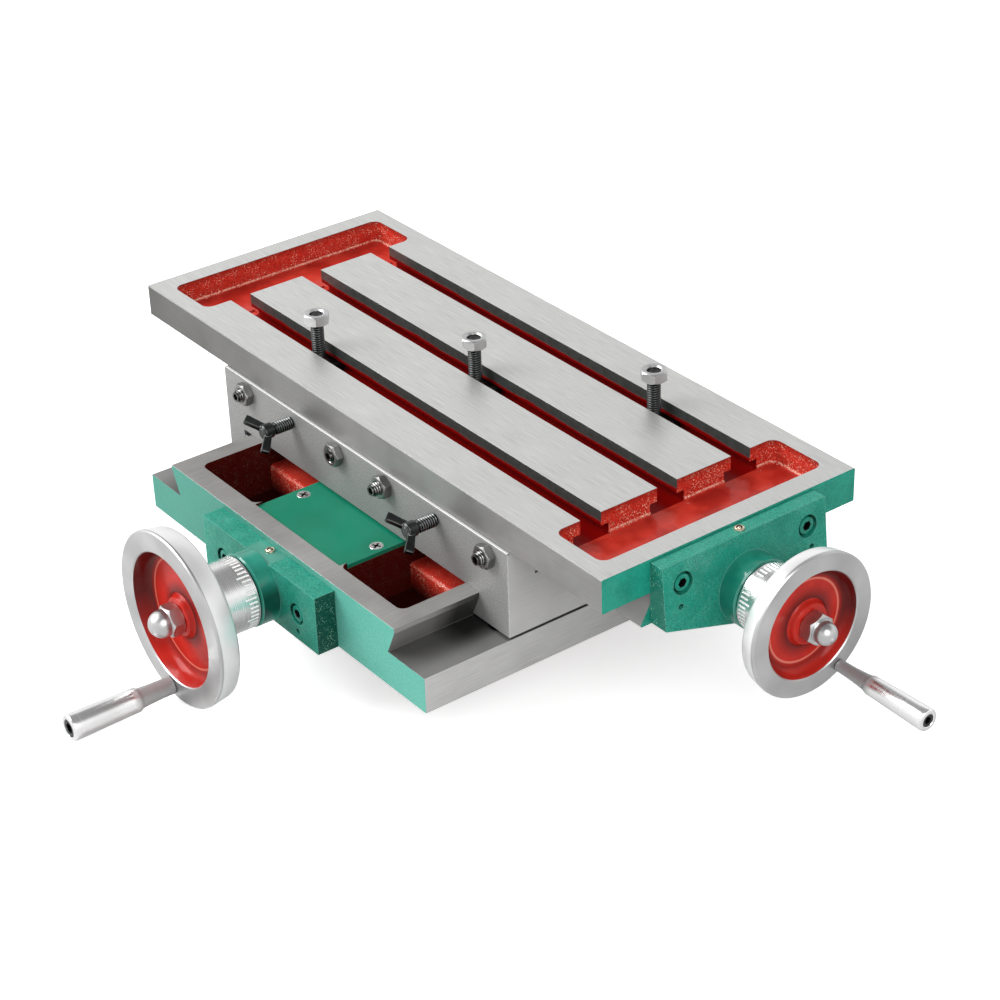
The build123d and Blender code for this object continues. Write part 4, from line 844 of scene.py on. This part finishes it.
class Drive:
    """One lead screw's outer end: dial, handwheel, cap nut and grip."""

    def __init__(self, end, outward, **sizes):
        self.end = end
        self.outward = outward
        for key, value in sizes.items():
            setattr(self, key, value)

    def span(self, name):
        """Where a piece of this end starts and stops, outward along the screw."""
        return reach_along(f"{self.end}_{name}", self.outward)

    def axis_point(self, name):
        return axis_point(f"{self.end}_{name}", self.outward)

    def place(self, name):
        return standing(self.axis_point(name), self.outward)

    def turn_piece(self, name, suffix, rings, *materials, axis="dial", turn=0.0, **extras):
        place = self.place(axis) @ Matrix.Rotation(turn, 4, "Z")
        turn_piece(f"{self.end}_{name}", suffix, place, rings, *materials, **extras)

    def steel(self, name, dark, light, rough, node="dial", metallic=1.0, mark_below=0, painted_shade_until=0):
        """Turned and polished steel, with faint rings about a node's axis.

        It has filled marks below the radius mark_below, and painted shade, darker and less metallic,
        as far along the axis as painted_shade_until."""
        shader = Shader(f"{self.end}_{name}_steel")
        away = shader.far_from(self.axis_point(node), self.outward)
        steps = shader.vector("DOT_PRODUCT", shader.place, self.outward)
        rings = shader.node("ShaderNodeCombineXYZ", {0: away, 1: steps}).outputs[0]
        lines = shader.noise(2600.0, detail=2.0, vector=rings)
        tone = shader.blend(0.12, shader.noise(35.0, detail=2.0), lines)
        colour = shader.mottle(tone, 0.15, rgba(dark, dark, dark), rgba(light, light, light))
        shader.put(Roughness=shader.ramp(lines, 0.3, 0.7, *rough))
        # Painted shade: up to painted_shade_until the neck is darker and less metallic
        if painted_shade_until:
            painted_shade = shader.ramp(steps, (painted_shade_until - 1) * MM, (painted_shade_until + 4) * MM, 0.7, 0.0)
            colour = shader.mix(painted_shade, colour, rgba(0.02, 0.02, 0.02))
            metallic = shader.ramp(painted_shade, 0.0, 0.7, 1.0, 0.15)
        if mark_below:
            marked = shader.ramp(away, (mark_below - 0.12) * MM, mark_below * MM, 1.0, 0.0)
            outside = shader.math("GREATER_THAN", away, (mark_below - 0.8) * MM)
            marked = shader.times(marked, outside)
            colour = shader.mix(marked, colour, rgba(0.93, 0.93, 0.92))
            metallic = shader.rest(marked)
        shader.put(Base_Color=colour, Metallic=metallic)
        shader.put(Normal=shader.bump(lines, 0.012, 0.00002))
        return shader.material


def web_paint(drive, wall_radius):
    """Red gloss enamel in a wheel's dish, with painted shade up its wall and at its hub's foot."""
    shader = Shader(f"{drive.end}_web_paint")
    away = shader.far_from(drive.axis_point("dial"), drive.outward)
    tones = (rgba(0.36, 0.012, 0.007), rgba(0.48, 0.020, 0.012))
    red = shader.mottle(shader.noise(70.0), 0.2, *tones)
    cove = wall_radius - WEB_COVE
    # Painted shade: the wall darkens where it faces sideways and down, and the web darkens near the
    # hub
    upright = shader.parts(shader.node("ShaderNodeNewGeometry").outputs["Normal"])[Z]
    wall = shader.ramp(away, cove * MM, (wall_radius - 1.5) * MM)
    wall = shader.times(wall, shader.ramp(upright, 0.05, 0.75, 0.9, 0.05))
    foot = shader.ramp(away, (HUB_RADIUS + 8.0) * MM, (HUB_RADIUS + 0.5) * MM, 0.0, 0.85)
    off_hub = shader.math("GREATER_THAN", away, (HUB_RADIUS + 0.3) * MM)
    shade = shader.math("MAXIMUM", wall, shader.times(foot, off_hub))
    red = shader.mix(shade, red, rgba(0.05, 0.001, 0.001))
    # A painted highlight line along the cove at the wall's foot
    off_line = shader.math("ABSOLUTE", shader.math("SUBTRACT", away, (cove + 0.4) * MM))
    line = shader.ramp(off_line, 0.0, 0.9 * MM, 0.6, 0.0)
    shader.put(Base_Color=shader.mix(line, red, rgba(0.78, 0.30, 0.22)))
    shader.put(Roughness=0.32, Specular_IOR_Level=0.1, Coat_Weight=0.2, Coat_Roughness=0.14)
    shader.put(Normal=shader.bump(shader.noise(420.0, detail=2.0), 0.15, 0.0003))
    return shader.material


def handwheel(drive):
    """A dished wheel: polished ring, red web and hub."""
    start, front = drive.span("handwheel")
    back = front - drive.thickness
    ring_inner = drive.radius - drive.ring_width
    web_outer = ring_inner - RING_DRAFT
    web_front = back + WEB_THICKNESS
    hub_front = web_front + WEB_DISH + HUB_LIFT
    back_radius = drive.radius - drive.thickness * RIM_TAPER
    bore = JOURNAL_RADIUS + FIT
    outline = [
        (bore, start),
        (HUB_RADIUS, start),
        (HUB_RADIUS, back, 1, 1.0),
        (web_outer, back, 0, 0),
        (back_radius, back, 2, RIM_ROUND),
        (drive.radius, front, 0, RIM_ROUND),
        (ring_inner + 0.6, front, 0, 0),
        (ring_inner, front - 0.6, 1, 0),
        (web_outer, web_front, 1, WEB_COVE),
        (HUB_RADIUS, web_front + WEB_DISH, 1, 2.0),
        (HUB_RADIUS - WEB_DISH, hub_front, 1, 0.8),
        (bore, hub_front, 0, 0),
    ]
    finishes = [drive.steel("ring", 0.52, 0.66, (0.34, 0.42)), web_paint(drive, web_outer)]
    # The outer rim is a lighter, partly diffuse copy of the ring's steel: a painted reflection
    finishes.append(drive.steel("rim", 0.84, 0.94, (0.3, 0.38), metallic=0.7))
    rings = softened(outline)
    drive.turn_piece("handwheel", "turned", rings, *finishes, steps=160, loop=True)


def dial(drive):
    """A sleeve with engraved divisions, every fifth one longer."""
    start, end = drive.span("dial")
    radius = drive.dial_radius
    steps_each = 8
    steps = DIAL_DIVISIONS * steps_each

    def marked(divisions):
        def reach(angle):
            division, offset = divmod(round(angle / tau * steps), steps_each)
            return radius - 0.3 if offset < 3 and division % divisions == 0 else radius

        return reach

    every, fifth = marked(1), marked(5)
    edge = 0.9
    first = start + 2.0
    short = first + 5.2
    long = first + 7.2
    bore = HUB_RADIUS + FIT
    rings = [(bore, start, 1), (radius - edge, start, 1), (radius, start + edge), (radius, first)]
    rings += [(every, first + 0.2), (every, short), (fifth, short + 0.2), (fifth, long)]
    rings += [(radius, long + 0.2), (radius, end - edge), (radius - edge, end), (bore, end)]
    # The dial's inner end, at the gap to the boss, takes the painted shade of the socket material
    finishes = [drive.steel("dial", 0.86, 0.97, (0.22, 0.3), mark_below=radius - 0.08), painted_recess_shade]
    drive.turn_piece("dial", "graduated", rings, *finishes, steps=steps, loop=True, sharp=20)


def cap_nut(drive):
    """A domed nut: chamfered hexagon, a narrow neck and a polished ball end."""
    start, top = drive.span("cap_nut")
    hex_top = start + drive.nut_height
    dome = drive.dome_radius
    rings = [(0, start)] + hex_rings(drive.nut_flats, start, hex_top)
    rings += [(dome + 0.25, hex_top), (dome, hex_top + 0.3)]
    rounds = 14
    for step in range(rounds):
        angle = pi / 2 * step / rounds
        rings.append((dome * cos(angle), top - dome + dome * sin(angle)))
    rings.append((0, top))
    finish = drive.steel("nut", 0.54, 0.68, (0.3, 0.36))
    drive.turn_piece("cap_nut", "domed", rings, finish, turn=drive.nut_turn, steps=96)


def grip(drive):
    """A turned grip: slim neck, flare, long taper, and a pocket for the screw head."""
    start, end = drive.span("grip")
    head = drive.spindle_radius * 5 / 3 + 0.3
    bore = drive.spindle_radius + 0.3
    edge = 1.5
    neck = (drive.root_radius, start + 0.3)
    flare = (drive.neck_radius, start + drive.neck_length - 0.3)
    body = (drive.shoulder_radius, flare[1] + 3.0)
    tail = (drive.grip_radius, end - edge)
    rings = [(bore, start), (drive.root_radius - 0.3, start), neck]
    stretches = (
        (neck, flare, 10, lambda t: t * t),
        (flare, body, 6, lambda t: t * t * (3 - 2 * t)),
        (body, tail, 8, lambda t: t),
    )
    for first, last, steps, swell in stretches:
        for step in range(1, steps + 1):
            t = step / steps
            radius = first[0] + (last[0] - first[0]) * swell(t)
            rings.append((radius, first[1] + (last[1] - first[1]) * t))
    edge_steps = 5
    for step in range(1, edge_steps + 1):
        angle = pi / 2 * step / edge_steps
        rings.append((drive.grip_radius - edge * (1 - cos(angle)), end - edge + edge * sin(angle)))
    rings += [(head + 0.3, end), (head, end - 0.3), (head, end - 4.7), (bore, end - 4.7)]
    finish = drive.steel("grip", 0.84, 0.97, (0.2, 0.28), node="grip", painted_shade_until=body[1])
    drive.turn_piece("grip", "turned", rings, finish, axis="grip", loop=True)


def grip_spindle(drive):
    """The socket head screw that a grip turns on."""
    low, top = drive.span("grip_spindle")
    radius = drive.spindle_radius
    head_low = top - SPINDLE_HEAD_HEIGHT
    rings = socket_rings(top, radius * 5 / 3, head_low, radius * 1.9, 2.4)
    rings += [(radius, head_low), (radius, low + 0.3), (radius - 0.3, low), (0, low)]
    finishes = [black, painted_recess_shade]
    drive.turn_piece("grip_spindle", "socket", rings, *finishes, axis="grip_spindle", steps=48)


def bracket_screws(drive):
    """The two socket screws of a bracket, painted over with it."""
    node = f"{drive.end}_bracket_screws"
    low, high = node_box(node)
    inner, outer = drive.span("bracket_screws")
    across = UP.cross(drive.outward)
    half_width = abs((high - low).dot(across)) / 2 - BRACKET_HEAD_RADIUS
    head_low = outer - BRACKET_HEAD_HEIGHT
    piece = Piece()
    for side in (-1, 1):
        origin = axis_point(node, drive.outward) + across * side * half_width
        rings = socket_rings(outer, BRACKET_HEAD_RADIUS, head_low, 4.6, 3.4)
        rings += [(BRACKET_SCREW_RADIUS, head_low), (BRACKET_SCREW_RADIUS, inner), (0, inner)]
        piece.turned(standing(origin, drive.outward), rings, steps=48)
    piece.build(node, "socket", green_gloss, painted_recess_shade)


def oiler(drive):
    """A press-in ball oiler: rounded flange, a seat in painted shade, and sprung ball."""
    node = f"{drive.end}_oiler"
    low, high = node_box(node)
    radius = (high.x - low.x) / 2
    top = high.z
    ball = 1.2
    rings = [(0, top), (ball * 0.5, top - 0.16), (ball * 0.87, top - 0.6), (ball, top - 1.0, 1)]
    rings += [(ball + 0.35, top - 1.0, 1), (ball + 0.5, top - 0.3), (radius - 0.7, top - 0.1)]
    rings += [(radius - 0.2, top - 0.4), (radius, top - 0.9), (radius, low.z), (0, low.z)]
    place = standing(axis_point(node, UP), UP, RIGHT)
    turn_piece(node, "ball", place, rings, brass, painted_recess_shade, steps=48)


def t_bolt(which):
    """A T-bolt: square head in the slot and a threaded shank."""
    node = f"t_bolt_{which}"
    low, high = node_box(node)
    square = polygon(4, high.x - low.x)
    chamfered = polygon(4, high.x - low.x - 1)
    head_top = low.z + BOLT_HEAD_HEIGHT
    rings = [(0, low.z), (chamfered, low.z), (square, low.z + 0.5), (square, head_top - 0.5)]
    rings += [(chamfered, head_top), (BOLT_RADIUS, head_top)]
    rings += thread(BOLT_RADIUS, head_top + 0.5, high.z - 0.5)
    rings += [(BOLT_RADIUS - 1.0, high.z), (0, high.z)]
    place = standing(axis_point(node, UP), UP, RIGHT)
    turn_piece(node, "threaded", place, rings, bolt_black, steps=40, sharp=50)


def t_bolt_nut(which):
    """The nut at a T-bolt's top, chamfered at both ends, with its bore's countersink."""
    node = f"t_bolt_nut_{which}"
    low, high = node_box(node)
    across = (cos(T_NUT_TURN), sin(T_NUT_TURN), 0)
    bore = BOLT_RADIUS + FIT
    rings = [(bore, low.z)] + hex_rings(T_NUT_FLATS, low.z, high.z)
    rings += [(bore + 0.8, high.z), (bore, high.z - 0.8)]
    place = standing(axis_point(node, UP), UP, across)
    turn_piece(node, "chamfered", place, rings, nut_steel, loop=True)


def gib_fasteners(gib, outward, fasteners):
    """A gib's set screws and jam nuts.

    Each is how far along the row it stands, how far its nut is turned, in degrees, and
    how far the screw stands out of the nut."""
    low, high = node_box(f"{gib}_screws")
    inset = SET_SCREW_RADIUS * Vector((abs(outward.y), abs(outward.x), 0))
    inner = reach_along(f"{gib}_screws", outward)[0]
    nut_low, nut_high = reach_along(f"{gib}_nuts", outward)
    bore = SET_SCREW_THREAD + FIT
    hexagon = polygon(6, SOCKET_FLATS)
    screws, nuts = Piece(), Piece()
    for share, turn, stand_out in fasteners:
        origin = (low + inset).lerp(high - inset, share)
        origin -= outward * origin.dot(outward)
        origin.z = (low.z + high.z) / 2
        place = standing(origin, outward)
        outer = nut_high + stand_out
        rings = [(0, outer - 3.0, 1), (hexagon, outer - 3.0, 1), (hexagon, outer)]
        rings += [(SET_SCREW_THREAD - 0.9, outer)]
        rings += thread(SET_SCREW_THREAD, outer - 0.4, nut_low)
        rings += [(SET_SCREW_RADIUS, nut_low), (SET_SCREW_RADIUS, inner + SET_SCREW_POINT)]
        screws.turned(place, rings + [(0, inner)], steps=36)
        rings = [(bore, nut_low)] + hex_rings(JAM_NUT_FLATS, nut_low, nut_high)
        rings += [(bore + 0.5, nut_high), (bore, nut_high - 0.5)]
        nuts.turned(place @ Matrix.Rotation(radians(turn), 4, "Z"), rings, loop=True)
    screws.build(f"{gib}_screws", "threaded", screw_steel, painted_recess_shade, sharp=50)
    nuts.build(f"{gib}_nuts", "chamfered", jam_steel)


# Share of the way from root to tip, width and thickness of a wing screw's ear
EAR_SECTIONS = (
    (0.0, 4.6, 4.0),
    (0.4, 4.6, 3.7),
    (0.75, 5.0, 3.5),
    (1.0, 5.4, 3.4),
    (1.1, 5.3, 3.3),
    (1.15, 4.6, 2.6),
)


def squared_off(value):
    """Takes a circle's sine or cosine to that of a square with rounded corners."""
    return (1 if value > 0 else -1) * sqrt(sqrt(abs(value)))


def lock_screw(node, outward):
    """A wing screw: threaded shank, round hub, and two ears that widen outward."""
    inner, outer = reach_along(node, outward)
    face = reach_along("saddle", outward)[1]
    hub_top = outer - LOCK_WING_LIFT
    hub_low = hub_top - LOCK_HUB_LENGTH
    hub = LOCK_HUB_RADIUS
    place = standing(axis_point(node, outward), outward, UP.cross(outward))
    rings = [(0, hub_top + 0.5, 1), (hub * 0.55, hub_top + 0.4, 1), (hub * 0.62, hub_top, 1)]
    rings += [(hub - 0.7, hub_top, 1), (hub, hub_top - 0.8, 1)]
    rings += [(hub, hub_low + 0.8, 1), (hub - 0.8, hub_low, 1), (SET_SCREW_THREAD - 0.8, hub_low)]
    rings += thread(SET_SCREW_THREAD, hub_low - 0.2, face)
    rings += [(SET_SCREW_RADIUS, face), (SET_SCREW_RADIUS, inner + SET_SCREW_POINT), (0, inner)]
    piece = Piece()
    piece.turned(place, rings, steps=36)
    flank = Vector((-sin(LOCK_WING_ANGLE), cos(LOCK_WING_ANGLE), 0))
    for side in (-1, 1):
        ear = Vector((cos(LOCK_WING_ANGLE), sin(LOCK_WING_ANGLE), 0)) * side
        root = ear * 1.5 + UP * (hub_low + LOCK_HUB_LENGTH / 2)
        tip = ear * (LOCK_WING_REACH - 2.2) + UP * (outer - 2.6)
        rise = flank.cross((tip - root).normalized())
        sections = []
        for share, width, thickness in EAR_SECTIONS:
            middle = root + (tip - root) * share
            loop = []
            for step in range(16):
                turn = tau * (step + 0.5) / 16
                sideways = rise * squared_off(cos(turn)) * width / 2
                out = flank * squared_off(sin(turn)) * thickness / 2
                loop.append(place @ (middle + sideways + out))
            sections.append(loop)
        piece.skinned(sections, 1)
    piece.build(node, "winged", black_thread, black, sharp=40)


def plate_screws():
    """The cover plate's two countersunk screws with cross recesses."""
    low, high = node_box("cover_plate_screws")
    top = high.z
    middle_y = (low.y + high.y) / 2
    radius = PLATE_HEAD_RADIUS
    shank = PLATE_SCREW_RADIUS
    half_slot, slot_reach, depth = 0.6, 2.6, 2.4
    ring_count = 14
    piece = Piece()
    for x in (low.x + radius, high.x - radius):
        place = standing((x, middle_y, 0), UP, (cos(0.5), sin(0.5), 0))
        rings = [(0, top - depth)]
        for ring in range(1, ring_count + 1):
            reach = slot_reach * 1.08 * ring / ring_count

            def lift(angle, reach=reach):
                x_off, y_off = abs(reach * cos(angle)), abs(reach * sin(angle))
                in_slot = min(x_off, y_off) < half_slot and max(x_off, y_off) < slot_reach
                slope = depth * max(0.5, 1 - 0.6 * max(x_off, y_off) / slot_reach)
                return top - slope if in_slot else top

            rings.append((reach, lift))
        rings += [(radius - 0.25, top), (radius, top - 0.2)]
        rings += [(shank, top - (radius - shank)), (shank, low.z), (0, low.z)]
        piece.turned(place, rings, steps=64)
    # Painted shade: the faces inside the cross recesses take the dark socket material
    for face in piece.mesh.faces:
        off = face.calc_center_median()
        sideways = min(abs(off.x - low.x - radius), abs(off.x - high.x + radius))
        in_recess = sideways < slot_reach and top - depth < off.z < top - 0.6
        if in_recess and abs(off.y - middle_y) < slot_reach:
            face.material_index = 1
    piece.build("cover_plate_screws", "cross", zinc, painted_recess_shade, sharp=25)


front_drive = Drive(
    "front", FRONT, radius=53.2, thickness=14.5, ring_width=13.1, dial_radius=21.4,
    nut_flats=17.0, nut_height=8.0, nut_turn=radians(8), dome_radius=8.0, root_radius=5.3,
    neck_radius=6.0, neck_length=20.5, shoulder_radius=7.2, grip_radius=8.0,
    spindle_radius=3.0,
)
end_drive = Drive(
    "end", RIGHT, radius=41.8, thickness=11.2, ring_width=11.1, dial_radius=19.8,
    nut_flats=16.0, nut_height=8.0, nut_turn=radians(20), dome_radius=6.4, root_radius=3.4,
    neck_radius=4.5, neck_length=21.0, shoulder_radius=5.4, grip_radius=6.4,
    spindle_radius=2.0,
)
for drive in (front_drive, end_drive):
    for make in (dial, handwheel, cap_nut, grip, grip_spindle, oiler, bracket_screws):
        make(drive)
for which in ("front", "middle", "rear"):
    t_bolt(which)
    t_bolt_nut(which)
gib_fasteners("long_gib", FRONT, ((0, 10, 3.4), (0.4, 4, 1.2), (0.6, 24, 4.8), (1, 14, 3.6)))
gib_fasteners("cross_gib", LEFT, ((0, 0, 4.8), (1, 0, 4.8)))
lock_screw("long_lock_left", FRONT)
lock_screw("long_lock_right", FRONT)
lock_screw("cross_lock", LEFT)
plate_screws()


def camera():
    """Camera at the photograph's angle, from its azimuth, elevation, roll and distance."""
    azimuth, elevation, roll = radians(53.662), radians(30.676), radians(-1.933)
    distance = 1326.75
    focal_share = 2.496665
    target = Vector((table_centre.x + 128.016, table_centre.y - 79.039, table_top))
    level = cos(elevation)
    back = Vector((sin(azimuth) * level, -cos(azimuth) * level, sin(elevation)))
    right = (-back).cross(UP).normalized()
    up = right.cross(-back)
    rolled_right = right * cos(roll) + up * sin(roll)
    rolled_up = up * cos(roll) - right * sin(roll)
    data = bpy.data.cameras.new("photo_camera")
    data.sensor_width = 36.0
    data.lens = focal_share * data.sensor_width
    data.clip_start = 0.05
    data.clip_end = 20.0
    view = add_object("photo_camera", data)
    rotation = Matrix((rolled_right, rolled_up, back)).transposed()
    view.matrix_world = Matrix.Translation((target + back * distance) * MM) @ rotation.to_4x4()
    bpy.context.scene.camera = view


def area_light(name, place, size, power):
    """A soft square lamp that points at the object; its place and size are in metres."""
    data = bpy.data.lights.new(name, "AREA")
    data.shape = "RECTANGLE"
    data.size = size
    data.size_y = size
    data.energy = power
    lamp = add_object(name, data)
    lamp.location = place
    lamp.rotation_euler = (Vector(place) - Vector((0, 0, 0.05))).to_track_quat("Z", "Y").to_euler()


def surroundings():
    """A white cyclorama that darkens overhead, and plain white to the camera."""
    world = bpy.data.worlds.new("studio")
    bpy.context.scene.world = world
    shader = Shader("studio", world)
    level = shader.parts(shader.node("ShaderNodeTexCoord").outputs["Generated"])[Z]
    limits = {"Value": level, "From Min": 0.52, "From Max": 0.78, "To Min": 1.0, "To Max": 0.30}
    fade = shader.node("ShaderNodeMapRange", limits, interpolation_type="SMOOTHSTEP")
    shader.put(Color=rgba(0.95, 0.95, 0.95), Strength=fade.outputs["Result"])
    white = shader.node("ShaderNodeBackground", {"Color": rgba(1, 1, 1)}).outputs[0]
    seen = shader.node("ShaderNodeLightPath").outputs["Is Camera Ray"]
    mixer = shader.node("ShaderNodeMixShader", {0: seen, 1: shader.surface.outputs[0], 2: white})
    shader.set(shader.tree.nodes["World Output"].inputs[0], mixer.outputs[0])


def floor():
    """Pale floor under the lowest point that the turning grips reach.

    It is white to the camera and keeps the object's shadow. Metal reflects it as grey."""
    mesh = bpy.data.meshes.new("floor")
    corners = []
    for x, y in ((-1, -1), (1, -1), (1, 1), (-1, 1)):
        corners.append(Vector((x * FLOOR_REACH, y * FLOOR_REACH, FLOOR_HEIGHT)) * MM)
    mesh.from_pydata(corners, [], [(0, 1, 2, 3)])
    ground = add_object("floor", mesh)
    shader = Shader("floor")
    tone = shader.noise(6.0, detail=2.0)
    pale = shader.mix(tone, rgba(0.92, 0.92, 0.92), rgba(0.95, 0.95, 0.95))
    path = shader.node("ShaderNodeLightPath").outputs
    shader.put(Base_Color=shader.mix(path["Is Glossy Ray"], pale, rgba(0.62, 0.62, 0.62)))
    shader.put(Roughness=1.0, Specular_IOR_Level=0.0, Emission_Color=rgba(1, 1, 1))
    shader.put(Emission_Strength=shader.times(path["Is Camera Ray"], 0.55))
    mesh.materials.append(shader.material)


camera()
surroundings()
floor()
area_light("key", (-1.0, -1.1, 1.3), 1.2, 40)
area_light("fill", (1.5, -0.5, 1.2), 1.0, 14)
bpy.context.scene.view_settings.view_transform = "Standard"
